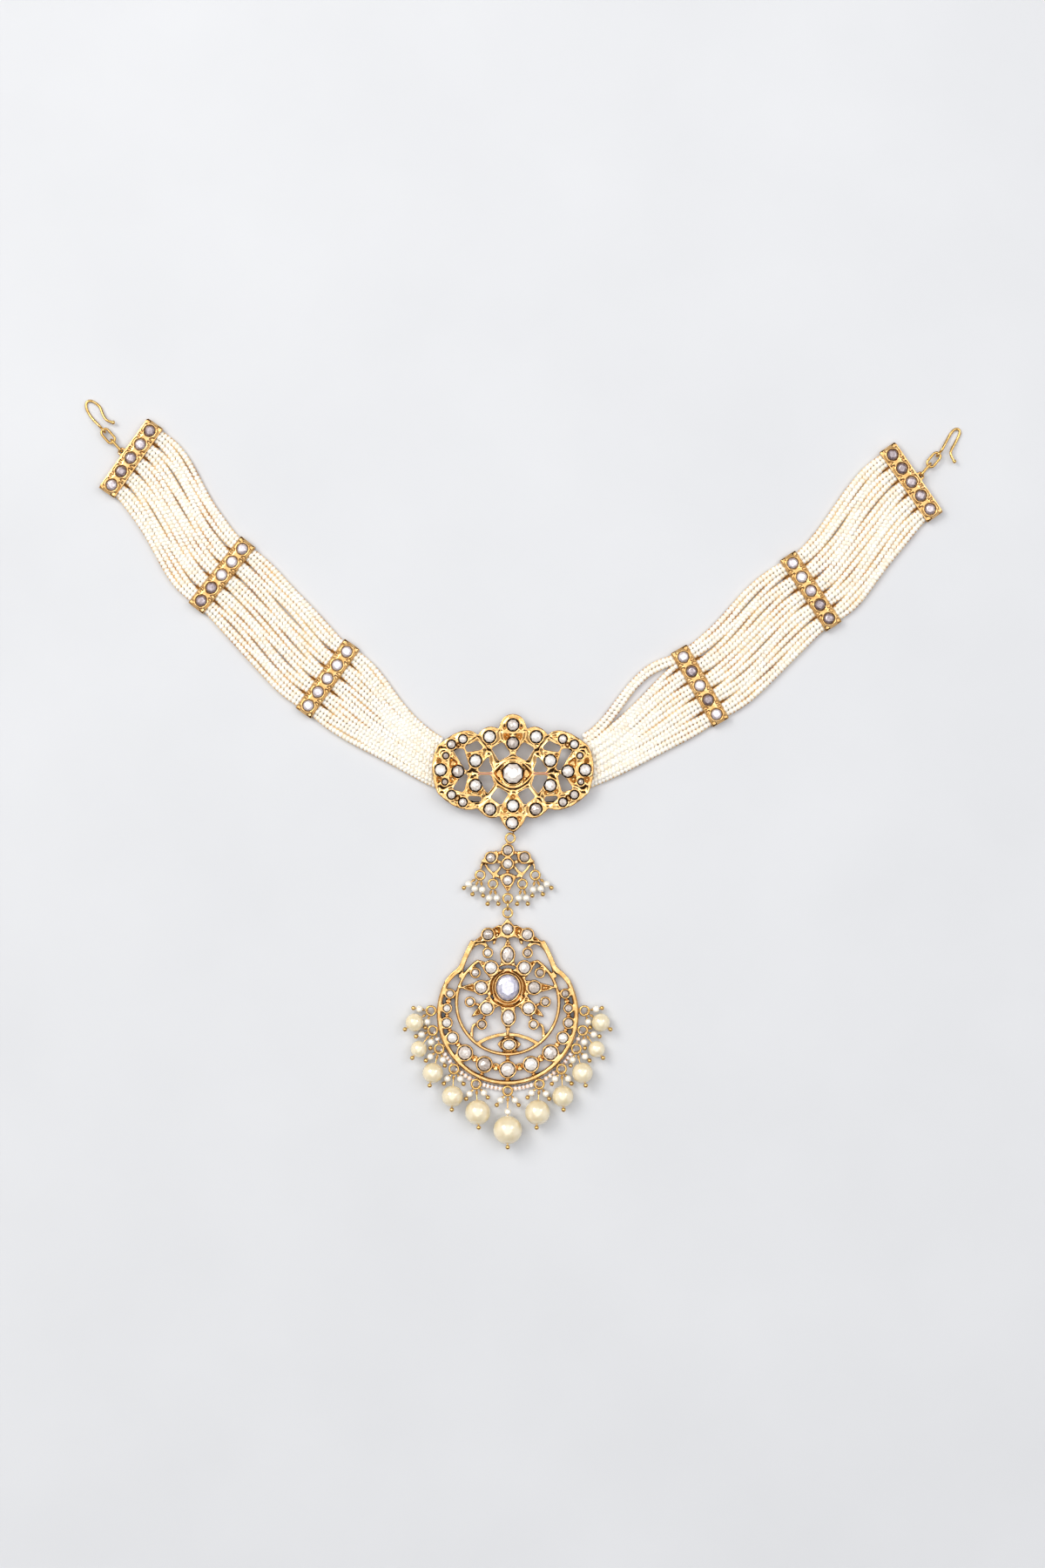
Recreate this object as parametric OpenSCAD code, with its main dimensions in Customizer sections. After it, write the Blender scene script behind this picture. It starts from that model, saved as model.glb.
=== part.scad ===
// Matha patti: a head ornament of seed pearl strands and spacer bars, with a pierced plaque, a fan and a
// pearl fringed pendant.
// It lies flat: X runs across the band, Y towards the crown, Z up from the surface. Origin behind the plaque.

/* [Band] */
// Distance between the centres of two spacer bars
section_l = 42.5; // [39:0.5:48]
// Diameter of one strand of seed pearls
strand_d = 1.5; // [1.2:0.05:1.55]
// How far the two loose strands beside the plaque bow out
loose_bow = 2.4; // [0:0.1:4]

/* [Spacer bars] */
// Pitch of the stones along a bar
bar_pitch = 4.75; // [4.7:0.05:5.2]
// Width of a bar, along the band
bar_w = 5.4; // [5:0.1:7]
// Height of a bar
bar_h = 3; // [2.6:0.1:4]
// Diameter of a bar stone
bar_stone_d = 3.1; // [2.6:0.1:3.3]

/* [Plaque] */
// Width of the plaque
plaque_w = 46.5; // [42:0.5:52]
// Height of the plaque, tip to tip
plaque_l = 34.2; // [32:0.2:40]
// Thickness of the plaque from the surface to its rims
plaque_t = 4.2; // [3.8:0.1:5.5]
// Diameter of the plaque's petal stones
petal_stone_d = 3.1; // [2.6:0.1:3.2]
// Diameter of the stones in the corner scallops
corner_stone_d = 2.1; // [1.6:0.1:2.3]
// Diameter of the four least stones
tiny_stone_d = 1.4; // [1:0.1:1.5]
// Diameter of the plaque's centre stone
centre_stone_d = 5.6; // [4.6:0.1:6]

/* [Fan] */
// Width of the fan between plaque and pendant
fan_w = 15.6; // [14.5:0.1:18]
// Height of the fan
fan_l = 14; // [13.6:0.1:16]
// Thickness of the fan
fan_t = 2.4; // [2:0.1:3]
// Diameter of the fan's stones
fan_stone_d = 2.6; // [2:0.1:2.8]

/* [Pendant] */
// Outer radius of the pendant's frame
frame_r = 20.4; // [19.5:0.1:23]
// Width of the frame's band
frame_w = 1.4; // [1.2:0.05:1.8]
// Thickness of the pendant
pendant_t = 2.6; // [2.4:0.1:3.4]
// Radius of the ring inside the frame, to the middle of its wire, as a share of frame_r
ring_share = 0.7206; // [0.705:0.005:0.735]
// Width of the inner ring and of the scrolls
ring_w = 1; // [0.8:0.05:1.3]
// Height of the oval centre stone
oval_l = 7.4; // [6.6:0.1:7.6]
// Width of the oval centre stone
oval_w = 6.5; // [5.6:0.1:6.6]
// Diameter of the petal stones of the star
star_stone_d = 3.3; // [2.8:0.1:3.4]
// Diameter of the greatest stone of the crescent
crescent_stone_d = 4; // [3.4:0.1:4.1]
// Diameter of the stones in the small round settings
bud_stone_d = 2; // [1.6:0.1:2.2]

/* [Pearl fringe] */
// Diameter of the lowest and greatest pearl
pearl_d = 8.4; // [7:0.1:8.6]
// Diameter of the small pearls beside it
seed_d = 2; // [1.6:0.1:2.1]
// Diameter of the beads that edge the frame
edging_d = 1.4; // [1:0.1:1.5]
// Diameter of the bore through a pearl
bore_d = 0.6; // [0.56:0.02:0.8]

/* [Wire] */
// Wire of the jump rings
jump_wire_d = 0.44; // [0.3:0.02:0.46]
// Radius of a jump ring to the middle of its wire
jump_r = 1.3; // [1.3:0.02:1.5]
// Wire of the head pins and eyes
pin_d = 0.34; // [0.3:0.02:0.36]
// Radius of an eye to the middle of its wire
eye_r = 0.55; // [0.54:0.01:0.62]
// Ball at the end of a head pin
ball_d = 1.3; // [1:0.1:1.5]
// Wire of the chain links
link_wire_d = 0.75; // [0.6:0.05:0.8]
// Length of a chain link
link_l = 5.4; // [5:0.1:7]
// Width of a chain link
link_w = 3; // [2.9:0.1:3.6]
// Wire of the hooks
hook_wire_d = 0.85; // [0.7:0.05:1]
// Length of a hook from its eye to its bend
hook_l = 8; // [6.5:0.1:9]

/* [Settings] */
// Wall of a stone's collar
collar_wall = 0.5; // [0.4:0.05:0.6]
// Gap round every loose piece
gap = 0.1; // [0.08:0.01:0.15]

/* [Hidden] */
$fn = 48;
eps = 0.01;
side_names = ["left", "right"];
numbers = ["01", "02", "03", "04", "05", "06", "07", "08", "09", "10", "11"];

// Colours
gold = "#e3b15a";
pearl = "#f3ecd2";
seed = "#f7efdc";
crystal = "#dcdbe6";

// Band: each row is a spacer bar, outwards from the plaque, as drawn for the right side
// columns: share of section_l to the bar before, heading, angle of the bar's long axis
route_left = [[0.9, 38.5, 125.5], [1, 44.4, 128.5], [1, 52.1, 125.2]];
route_right = [[0.88, 35.6, 120], [0.985, 40.5, 123.3], [1, 47.3, 124.6]];
bar_stones = 5;
group = 3;
strands = bar_stones * group;
loose_strands = 2;
bar_l = bar_stones * bar_pitch + 2 * gap + collar_wall;
strand_gap = (bar_pitch - group * strand_d) / 2;
thread_bore = strand_d / 3;
bundle_steps = 7;

// Plaque
half_w = plaque_w / 2;
half_l = plaque_l / 2;
plate_z = plaque_t * 0.6;
plate_top = plaque_t * 0.88;
seat_z = plaque_t * 0.76;
rim_share = 0.84;
floor_share = 0.42;
core_share = 0.8;
// The strands end behind the plaque along this line: shares of half_w and half_l
anchor_top = [0.89, 0.6];
anchor_foot = [0.93, -0.24];
pile_h = plate_z - gap;

// Eyes stand this far off the metal that carries them
eye_reach = jump_wire_d / 2 + gap + 0.04;
wire_z = pendant_t * 0.72;
plaque_eye = [0, -half_l - eye_reach];

// Fan and pendant hang a little left of the plaque's middle, on jump rings
drop_lean = -1.5;
fan_eye = [drop_lean, plaque_eye[1] - sqrt(4 * jump_r * jump_r - drop_lean * drop_lean)];
lean_angle = asin(drop_lean / (2 * jump_r));
fan_top = [drop_lean, fan_eye[1] - eye_reach - jump_r * (1 - cos(lean_angle))];
fan_foot_eye = fan_top - [0, fan_l + eye_reach];
hanging_links = 3;
pendant_eye = fan_foot_eye - [0, chain_run(hanging_links)];
apex_y = 1.345;
pendant_c = pendant_eye - [0, eye_reach + frame_r * apex_y];
star_y = 0.375;
ring_y = 0.157;
petal_seat = pendant_t * 0.5;
petal_t = pendant_t * 0.92;

// Fringe
fringe_eye_r = frame_r + eye_reach;
fringe_ring_r = fringe_eye_r + jump_r;
edging_r = frame_r + gap + edging_d / 2;
bead_reach = jump_r + eye_r + pin_d + seed_d / 2 + 0.15;
// Each row is a drop, from the lowest outwards, angles from straight down
// columns: angle of the eye, angle of the pearl, pearl's distance as a share of frame_r, size as a share of
// pearl_d, turn of the inner and of the outer small pearl from the pin
drops = [
    [0, 0, 1.618, 1, 38, 38],
    [24.3, 17, 1.436, 0.87, 38, 38],
    [44.4, 34, 1.387, 0.74, 36, 32],
    [63.2, 52, 1.334, 0.71, 33, 34],
    [77.7, 68.6, 1.343, 0.57, 30, 34],
    [92.5, 85, 1.315, 0.63, 36, 44]
];

// Curves
function mix(a, b, t) = a + (b - a) * t;
function polar(r, a) = [r * cos(a), r * sin(a)];
function bend(a, c, b, n = 6) = [for (i = [0:n - 1]) let (t = i / n)
    a * (1 - t) * (1 - t) + c * 2 * t * (1 - t) + b * t * t];
function side(a, b, from, bow) = bend(a, (a + b) / 2 + bow * ((a + b) / 2 - from), b, 4);
function leaf(a, b, tip, bow) =
    concat(side(a, b, tip, bow[0]), side(b, tip, a, bow[1]), side(tip, a, b, bow[1]));
function unit(v) = v / norm(v);
function left_of(v) = [-v[1], v[0]];
function heading(p, i) = unit(p[min(i + 1, len(p) - 1)] - p[max(i - 1, 0)]);
function ribbon(p, w) = concat(
    [for (i = [0:len(p) - 1]) p[i] + left_of(heading(p, i)) * w / 2],
    [for (i = [len(p) - 1:-1:0]) p[i] - left_of(heading(p, i)) * w / 2]
);
function eased(p, n) = [for (i = [0:len(p) - 2], j = [0:(i == len(p) - 2 ? n : n - 1)])
    let (t = j / n, a = p[max(i - 1, 0)], b = p[i], c = p[i + 1], d = p[min(i + 2, len(p) - 1)])
    (b * 2 + (c - a) * t + (a * 2 - b * 5 + c * 4 - d) * t * t + (b * 3 - a - c * 3 + d) * t * t * t) / 2];
function run(list, n) = n < 0 ? [0, 0] : list[n] + run(list, n - 1);
function chain_run(n) = 2 * jump_r * n - (n - 1) * (jump_wire_d + gap);

// Chain and hooks at the ends of the band
chain_z = link_w / 2;
link_clear = 1.5 * gap;
bar_eye_r = link_wire_d + link_clear;
bar_eye_y = bar_w / 2 + link_wire_d / 2 + link_clear;
link_run = link_l - link_wire_d;
hook_eye_r = (hook_wire_d + link_wire_d) / 2 + link_clear;
// columns: heading of the chain, heading of the hook; then the hook's route as shares of hook_l
hook_headings = [[49, 49], [50, 62]];
hook_left = [[0, 0], [0.45, -0.02], [0.8, 0.05], [0.97, 0.2], [0.9, 0.37], [0.56, 0.46], [0.26, 0.36], [0, 0.33],
    [-0.17, 0.42]];
hook_right = [[0, 0], [0.45, 0], [0.8, -0.03], [0.95, -0.15], [0.86, -0.29], [0.5, -0.31], [0.12, -0.3],
    [-0.04, -0.4], [-0.13, -0.54]];

// Band layout, for the right side
function bar_at(route, i) = [plaque_w / 2, half_l * 0.2]
    + run([for (r = route) polar(r[0] * section_l, r[1])], i);
function bar_turn(route, i) = route[i][2];
function strand_at(i) = (floor(i / group) - (bar_stones - 1) / 2) * bar_pitch + (i % group - 1) * strand_d;

// Stones and settings
module stone(d, h, stretch = 1) {
    n = 8;
    girdle = h * 0.3;
    turn = 180 / n;
    ring = function(r, z, a) [for (i = [0:n - 1]) let (t = 360 * i / n + a) [r * cos(t), r * stretch * sin(t), z]];
    points = concat(ring(d / 2 * 0.9, 0, 0), ring(d / 2, girdle, 0), ring(d / 2 * 0.58, h, turn));
    faces = concat(
        [[for (i = [0:n - 1]) i]],
        [for (i = [0:n - 1]) let (j = (i + 1) % n) [i, n + i, j]],
        [for (i = [0:n - 1]) let (j = (i + 1) % n) [n + i, n + j, j]],
        [for (i = [0:n - 1]) let (j = (i + 1) % n) [n + i, 2 * n + i, n + j]],
        [for (i = [0:n - 1]) let (j = (i + 1) % n) [2 * n + i, 2 * n + j, n + j]],
        [[for (i = [n - 1:-1:0]) 2 * n + i]]
    );
    polyhedron(points, faces, convexity = 2);
}

// A dished leaf: the walls slope from its rim down to the floor round its stone
module dish(points, focus, floor_z, top_z) {
    rim = rim_share / floor_share;
    translate([focus[0], focus[1], floor_z])
        linear_extrude(height = top_z - floor_z + eps, scale = rim * (1 + eps / (top_z - floor_z)))
            polygon([for (p = points) (p - focus) * floor_share]);
}

module torus(r, d) {
    rotate_extrude() translate([r, 0]) circle(d = d, $fn = 24);
}

// An eye that stands upright, seen edge on from above, with its hole facing the given way
module eye(turn) {
    rotate([90, 0, turn]) torus(eye_r, pin_d);
}

// A round wire swept along a route of [x, y, z] points, with a knob at its end where one is asked for
function carried(t, m, i = 0) = i == len(t) ? []
    : let (n = unit(m - t[i] * (m * t[i]))) concat([n], carried(t, n, i + 1));
knob = [[0.25, 1.3], [0.6, 1.5], [0.95, 1.25], [1.15, 0.6]];

module wire(route, d, n = 8, knobbed = false) {
    way = unit(route[len(route) - 1] - route[len(route) - 2]);
    path = knobbed ? concat(route, [for (k = knob) route[len(route) - 1] + way * k[0] * d]) : route;
    thick = concat([for (p = route) 1], [for (k = knob) k[1]]);
    last = len(path) - 1;
    along = [for (i = [0:last]) heading(path, i)];
    across = carried(along, [-along[0][1], along[0][0], abs(along[0][2]) > 0.9 ? 1 : 0]);
    points = [for (i = [0:last], k = [0:n - 1]) let (a = 360 * (k + 0.5) / n)
        path[i] + (across[i] * cos(a) + cross(along[i], across[i]) * sin(a)) * thick[i] * d / 2];
    faces = concat(
        [[for (k = [0:n - 1]) k]],
        [for (i = [0:last - 1], k = [0:n - 1]) let (j = (k + 1) % n) each [
            [i * n + k, (i + 1) * n + k, i * n + j], [(i + 1) * n + k, (i + 1) * n + j, i * n + j]
        ]],
        [[for (k = [n - 1:-1:0]) last * n + k]]
    );
    polyhedron(points, faces, convexity = 4);
}

// Spacer bars
module on_bar(route, i) {
    p = bar_at(route, i);
    translate([p[0], p[1], 0]) rotate(bar_turn(route, i)) children();
}

module for_bar_stones() {
    for (k = [0:bar_stones - 1]) translate([(k - (bar_stones - 1) / 2) * bar_pitch, 0, 0]) children();
}

module bar(route, i) {
    chamfer = bar_h * 0.25;
    cell = bar_pitch - collar_wall;
    cell_floor = bar_h * 0.62;
    color(gold) on_bar(route, i) difference() {
        union() {
            difference() {
                intersection() {
                    rotate([90, 0, 90]) translate([0, 0, -bar_l / 2])
                        linear_extrude(height = bar_l) bevelled(bar_w, bar_h, chamfer);
                    rotate([90, 0, 0]) translate([0, 0, -bar_w / 2])
                        linear_extrude(height = bar_w) bevelled(bar_l, bar_h, chamfer);
                }
                for_bar_stones() translate([-cell / 2, -cell / 2, cell_floor]) cube([cell, cell, bar_h]);
            }
            for_bar_stones() translate([0, 0, cell_floor - gap / 2])
                cylinder(h = bar_h - cell_floor + 1.5 * gap, d = bar_stone_d + 2 * (gap + collar_wall));
            if (i == len(route) - 1) translate([0, -bar_eye_y, chain_z]) torus(bar_eye_r, link_wire_d);
        }
        for_bar_stones() translate([0, 0, bar_h * 0.55]) cylinder(h = bar_h, d = bar_stone_d + 2 * gap);
        for (k = [0:strands - 1]) translate([strand_at(k), bar_w, strand_d / 2]) rotate([90, 0, 0])
            cylinder(h = i == len(route) - 1 ? 1.2 * bar_w : 2 * bar_w, d = thread_bore);
    }
}

module bevelled(w, h, c) {
    polygon([[-w / 2, 0], [w / 2, 0], [w / 2, h - c], [w / 2 - c, h], [c - w / 2, h], [-w / 2, h - c]]);
}

module bar_stones(route) {
    color(crystal) for (i = [0:len(route) - 1]) on_bar(route, i) for_bar_stones()
        translate([0, 0, bar_h * 0.55 + gap]) stone(bar_stone_d, bar_h * 0.6);
}

// Strands: one solid for each section, with a ridge for every strand
function anchor(i) = let (top = [anchor_top[0] * half_w, anchor_top[1] * half_l],
    foot = [anchor_foot[0] * half_w, anchor_foot[1] * half_l]) mix(foot, top, (i + 0.5) / strands);
function bar_edge(route, i, k, outward) = bar_at(route, i) + polar(strand_at(k), bar_turn(route, i))
    + polar(outward * (bar_w / 2 + gap), bar_turn(route, i) - 90);
function start_of(route, i, k) = i == 0 ? anchor(k) : bar_edge(route, i - 1, k, 1);
function end_of(route, i, k) = bar_edge(route, i, k, -1);
function strand_line(route, i, k, t) = let (a = start_of(route, i, k), b = end_of(route, i, k),
    mid = (strands - 1) / 2, spread = i == 0 ? 0 : (k - mid) / mid * strand_gap)
    mix(a, b, t) + left_of(unit(b - a)) * spread * sin(180 * t);
function strand_top(i, t) = i == 0 ? mix(pile_h, strand_d, min(1, t * 2.5)) : strand_d;

module bundle(route, i, count) {
    per = 3;
    n = count * per + 3;
    outline = function(t) let (
        line = [for (k = [0:count - 1]) strand_line(route, i, k, t)],
        across = unit(line[count - 1] - line[0]),
        step = norm(line[count - 1] - line[0]) / (count - 1),
        top = strand_top(i, t)
    ) concat(
        [for (k = [0:count - 1], m = [0:per - 1])
            let (p = line[k] + across * (m - 1.5 + (m == 0 ? 0 : 0.25)) * step / 3)
            [p[0], p[1], m == 0 ? top * 0.72 : top]],
        [let (p = line[count - 1] + across * step / 2) [p[0], p[1], top * 0.72]],
        [let (p = line[count - 1] + across * step / 2) [p[0], p[1], 0]],
        [let (p = line[0] - across * step / 2) [p[0], p[1], 0]]
    );
    points = [for (s = [0:bundle_steps]) each outline(s / bundle_steps)];
    last = bundle_steps * n;
    caps = [for (k = [0:count - 1]) let (v = k * per) each [
        [v + 3, v + 2, v + 1, v], [v + 3, v, n - 1],
        [last + v, last + v + 1, last + v + 2, last + v + 3], [last + n - 1, last + v, last + v + 3]
    ]];
    foot = [[n - 2, n - 3, n - 1], [last + n - 1, last + n - 3, last + n - 2]];
    faces = concat(caps, foot,
        [for (s = [0:bundle_steps - 1], k = [0:n - 1]) let (j = (k + 1) % n, a = s * n, b = a + n) each [
            [a + k, a + j, b + k], [b + k, a + j, b + j]
        ]]
    );
    polyhedron(points, faces, convexity = 10);
}

module loose_strand(route, k) {
    steps = 10;
    thick = strand_d - 4 * gap;
    a = start_of(route, 0, k) + [0, (k + 1 - strands + loose_strands) * (strand_d - (half_l * 0.84) / strands)];
    b = end_of(route, 0, k);
    wire([for (s = [0:steps]) let (t = s / steps, q = mix(a, b, t)
        + left_of(unit(b - a)) * loose_bow * pow(sin(180 * pow(t, 1.3)), 1.5))
        [q[0], q[1], strand_d / 2]], thick, 7);
}

module section(route, i, loose) {
    color(seed) {
        bundle(route, i, strands - loose);
        if (loose > 0) for (k = [strands - loose:strands - 1]) loose_strand(route, k);
    }
}

// Plaque: shares of half_w and half_l
function on_plaque(p) = [p[0] * half_w, p[1] * half_l];
// each row: notch or tip, then the curve's control towards the next row, for the right half from top to foot
lobes = [
    [[0, 1], [0.146, 0.994]],
    [[0.172, 0.749], [0.318, 0.865]],
    [[0.43, 0.655], [0.594, 0.865]],
    [[0.929, 0.468], [1.067, 0.096]],
    [[0.929, -0.333], [0.658, -0.699]],
    [[0.439, -0.585], [0.301, -0.836]],
    [[0.163, -0.711], [0.133, -0.895]],
    [[0, -1], [0, -1]]
];
half_outline = [for (i = [0:len(lobes) - 2]) each bend(lobes[i][0], lobes[i][1], lobes[i + 1][0])];
plaque_outline = [for (p = concat(half_outline, [[0, -1]],
    [for (i = [len(half_outline) - 1:-1:1]) [-half_outline[i][0], half_outline[i][1]]])) on_plaque(p)];

// columns: two base corners, tip, focus of the dish, bow of base and sides
side_petals = [
    [[0.185, 0.72], [0.42, 0.64], [0.285, 0.4], [0.288, 0.6], [0.28, 0.1]],
    [[0.445, 0.63], [0.91, 0.46], [0.69, 0.4], [0.685, 0.53], [0.75, 0]],
    [[0.365, 0.385], [0.59, 0.35], [0.462, 0.05], [0.46, 0.215], [0.1, 0.12]],
    [[0.365, -0.385], [0.59, -0.35], [0.462, -0.03], [0.46, -0.2], [0.1, 0.12]],
    [[0.79, 0.33], [0.79, -0.22], [0.565, 0.045], [0.69, 0.04], [0.05, 0.08]],
    [[0.935, 0.33], [0.935, -0.24], [0.81, 0.07], [0.89, 0.06], [0.35, 0.1]],
    [[0.445, -0.565], [0.91, -0.33], [0.68, -0.34], [0.685, -0.42], [0.75, 0]],
    [[0.175, -0.69], [0.425, -0.575], [0.285, -0.4], [0.284, -0.6], [0.3, 0.1]]
];
axis_petals = [
    [[-0.155, 0.73], [0.155, 0.73], [0, 0.97], [0, 0.81], [0.12, 0.3]],
    [[-0.15, 0.71], [0.15, 0.71], [0, 0.3], [0, 0.52], [-0.12, 0.15]],
    [[-0.15, -0.68], [0.15, -0.68], [0, -0.3], [0, -0.53], [-0.12, 0.15]],
    [[-0.145, -0.71], [0.145, -0.71], [0, -0.97], [-0.01, -0.82], [0.12, 0.15]]
];
// columns: place, whether it is tiny or a corner stone
petal_stones = [[0.288, 0.614], [0.46, 0.215], [0.46, -0.2], [0.677, 0.035], [0.892, 0.06], [0.284, -0.6]];
corner_stones = [[0.615, 0.576], [0.757, 0.488], [0.617, -0.48], [0.757, -0.357]];
tiny_stones = [[0.826, 0.298], [0.839, -0.14]];
axis_stones = [[0, 0.813], [0, 0.51], [0, -0.54], [-0.01, -0.83]];
// openings through the plaque, right half
openings = [
    [[0.583, 0.444], [0.443, 0.538], [0.366, 0.418], [0.56, 0.375]],
    [[0.731, 0.4], [0.613, 0.404], [0.542, 0.067], [0.58, 0.067]],
    [[0.135, 0.515], [0.037, 0.322], [0.166, 0.228], [0.254, 0.418]],
    [[0.295, 0.298], [0.3, 0.19], [0.254, 0.041], [0.425, 0.041]],
    [[0.425, -0.041], [0.275, -0.041], [0.24, -0.19], [0.314, -0.325]],
    [[0.185, -0.246], [0.065, -0.339], [0.146, -0.515], [0.265, -0.392]],
    [[0.563, -0.041], [0.613, -0.298], [0.731, -0.25], [0.6, 0]],
    [[0.563, -0.39], [0.4, -0.4], [0.396, -0.462], [0.495, -0.474]]
];
eye_half_w = 0.275 * half_w;
eye_half_l = 0.29 * half_l;

function flipped(points, s) = [for (p = points) [p[0] * s, p[1]]];

module marquise(hw, hl) {
    rise = [0, 2 * hl * 0.9];
    polygon(concat(bend([-hw, 0], rise, [hw, 0], 12), bend([hw, 0], -rise, [-hw, 0], 12)));
}

module for_plaque_stones(places) {
    for (p = places, s = [-1, 1]) {
        q = on_plaque([p[0] * s, p[1]]);
        translate([q[0], q[1], 0]) children();
    }
}

module for_axis_stones() {
    for (p = axis_stones) {
        q = on_plaque(p);
        translate([q[0], q[1], 0]) children();
    }
}

module plaque_dish(row, s) {
    points = [for (p = flipped(leaf(row[0], row[1], row[2], row[4]), s)) on_plaque(p)];
    dish(points, on_plaque([row[3][0] * s, row[3][1]]), seat_z, plaque_t);
}

// Every stone of the plaque: a plug of gold round it, the seat cut into the plug, or the stone itself
module in_plaque(what) {
    for_plaque_stones(petal_stones) plaque_setting(what, petal_stone_d, 0.5);
    for_plaque_stones(corner_stones) plaque_setting(what, corner_stone_d, 0.6);
    for_plaque_stones(tiny_stones) plaque_setting(what, tiny_stone_d, 0.8);
    for_axis_stones() plaque_setting(what, petal_stone_d, 0.5);
}

module plaque_setting(what, d, rise) {
    if (what == "plug") translate([0, 0, (plate_z + seat_z) / 2])
        cylinder(h = plaque_t - (plate_z + seat_z) / 2 + gap, d = d + 2 * (gap + collar_wall));
    if (what == "seat") translate([0, 0, seat_z]) cylinder(h = plaque_t, d = d + 2 * gap);
    if (what == "stone") translate([0, 0, seat_z + gap]) stone(d, d * rise);
}

module plaque_blank() {
    translate([0, 0, plate_z]) linear_extrude(height = plaque_t - plate_z) polygon(plaque_outline);
    linear_extrude(height = (plate_z + seat_z) / 2) polygon([for (p = plaque_outline) p * core_share]);
}

module plaque() {
    color(gold) {
        difference() {
            union() {
                difference() {
                    plaque_blank();
                    for (hole = openings, s = [-1, 1]) translate([0, 0, -1])
                        linear_extrude(height = plaque_t + 2)
                            polygon([for (p = flipped(hole, s)) on_plaque(p)]);
                    for (row = side_petals, s = [-1, 1]) plaque_dish(row, s);
                    for (row = axis_petals) plaque_dish(row, 1);
                    translate([0, 0, seat_z]) linear_extrude(height = plaque_t - seat_z + eps, scale = 1.5)
                        marquise(eye_half_w / 1.7, eye_half_l / 1.7);
                }
                in_plaque("plug");
                plaque_setting("plug", centre_stone_d, 0.3);
            }
            in_plaque("seat");
            plaque_setting("seat", centre_stone_d, 0.3);
        }
        translate([plaque_eye[0], plaque_eye[1], wire_z]) eye(90 + lean_angle);
        translate([plaque_eye[0] - pin_d, -half_l + 2 * gap, wire_z - eye_r / 2])
            cube([2 * pin_d, 2 * eye_r, plate_z - wire_z + eye_r]);
    }
}

module plaque_stones() {
    color(crystal) in_plaque("stone");
}

module plaque_centre_stone() {
    color(crystal) plaque_setting("stone", centre_stone_d, 0.32);
}

// Fan: shares of fan_w / 2 and of fan_l below its top
function on_fan(p) = [fan_top[0] + p[0] * fan_w / 2, fan_top[1] + p[1] * fan_l];
fan_places = [[0, -0.13], [-0.62, -0.285], [0.62, -0.275], [0, -0.41], [0, -0.75]];
// leaves: two base corners, tip, focus
fan_leaves = [
    [[-0.24, -0.22], [0.24, -0.22], [0, 0.01], [0, -0.13]],
    [[0.42, -0.13], [0.5, -0.42], [1, -0.36], [0.62, -0.275]],
    [[-0.5, -0.42], [-0.42, -0.13], [-1, -0.36], [-0.62, -0.285]],
    [[-0.32, -0.67], [0.32, -0.67], [0, -1], [0, -0.75]]
];
fan_scrolls = [
    [[-0.24, -0.18], [-0.45, -0.2]],
    [[-0.86, -0.4], [-0.72, -0.52], [-0.55, -0.62], [-0.3, -0.68]],
    [[-0.12, -0.41], [-0.5, -0.34]],
    [[-0.24, -0.46], [-0.36, -0.56], [-0.5, -0.61]],
    [[-0.93, -0.38], [-0.98, -0.46], [-0.99, -0.53]],
    [[-0.5, -0.6], [-0.52, -0.66], [-0.52, -0.71]]
];
// columns: eye, turn from straight down to the ring, turns of its pins, for the right side
fan_drops = [[[0.99, -0.55], 8, [-8, 22, 52]], [[0.52, -0.73], 8, [-15, 15]]];

module fan_leaf(row) {
    points = [for (p = leaf(row[0], row[1], row[2], [0.5, 0.12])) on_fan(p)];
    difference() {
        linear_extrude(height = fan_t) polygon(points);
        dish(points, on_fan(row[3]), fan_t * 0.6, fan_t);
    }
}

module for_fan_stones() {
    for (p = fan_places) {
        q = on_fan(p);
        translate([q[0], q[1], 0]) children();
    }
}

module fan() {
    color(gold) {
        difference() {
            union() {
                for (row = fan_leaves) fan_leaf(row);
                for_fan_stones() cylinder(h = fan_t + gap, d = fan_stone_d + 2 * (gap + collar_wall));
                for (row = fan_scrolls, s = [-1, 1]) linear_extrude(height = fan_t * 0.8)
                    polygon([for (p = ribbon(flipped(row, s), 0.07)) on_fan(p)]);
                linear_extrude(height = fan_t * 0.8)
                    polygon([for (p = ribbon([[0, -0.3], [0, -0.7]], 0.12)) on_fan(p)]);
            }
            for_fan_stones() translate([0, 0, fan_t * 0.5]) cylinder(h = fan_t, d = fan_stone_d + 2 * gap);
        }
        translate([fan_eye[0], fan_eye[1], wire_z]) eye(90 + lean_angle);
        translate([fan_foot_eye[0], fan_foot_eye[1], wire_z]) eye(90);
        for (d = fan_drops, s = [-1, 1]) {
            q = on_fan([d[0][0] * s, d[0][1]]);
            translate([q[0], q[1], wire_z]) eye(90 + d[1] * s);
        }
    }
}

module fan_stones() {
    color(crystal) for_fan_stones() translate([0, 0, fan_t * 0.5 + gap]) stone(fan_stone_d, fan_t * 0.7);
}

module jump_ring(c) {
    translate([c[0], c[1], wire_z]) torus(jump_r, jump_wire_d);
}

module fan_link() {
    color(gold) jump_ring((plaque_eye + fan_eye) / 2);
}

function fan_ring(d, s) = on_fan([d[0][0] * s, d[0][1]]) + polar(jump_r, -90 + d[1] * s);

module fan_rings() {
    color(gold) for (d = fan_drops, s = [-1, 1]) jump_ring(fan_ring(d, s));
}

// A head pin: an eye round a jump ring, a shank along X and a ball at its end
module head_pin(reach) {
    rotate([90, 0, 0]) torus(eye_r, pin_d);
    translate([eye_r, 0, 0]) rotate([0, 90, 0]) cylinder(h = reach - eye_r, d = pin_d);
    translate([reach, 0, 0]) sphere(d = ball_d);
}

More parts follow.
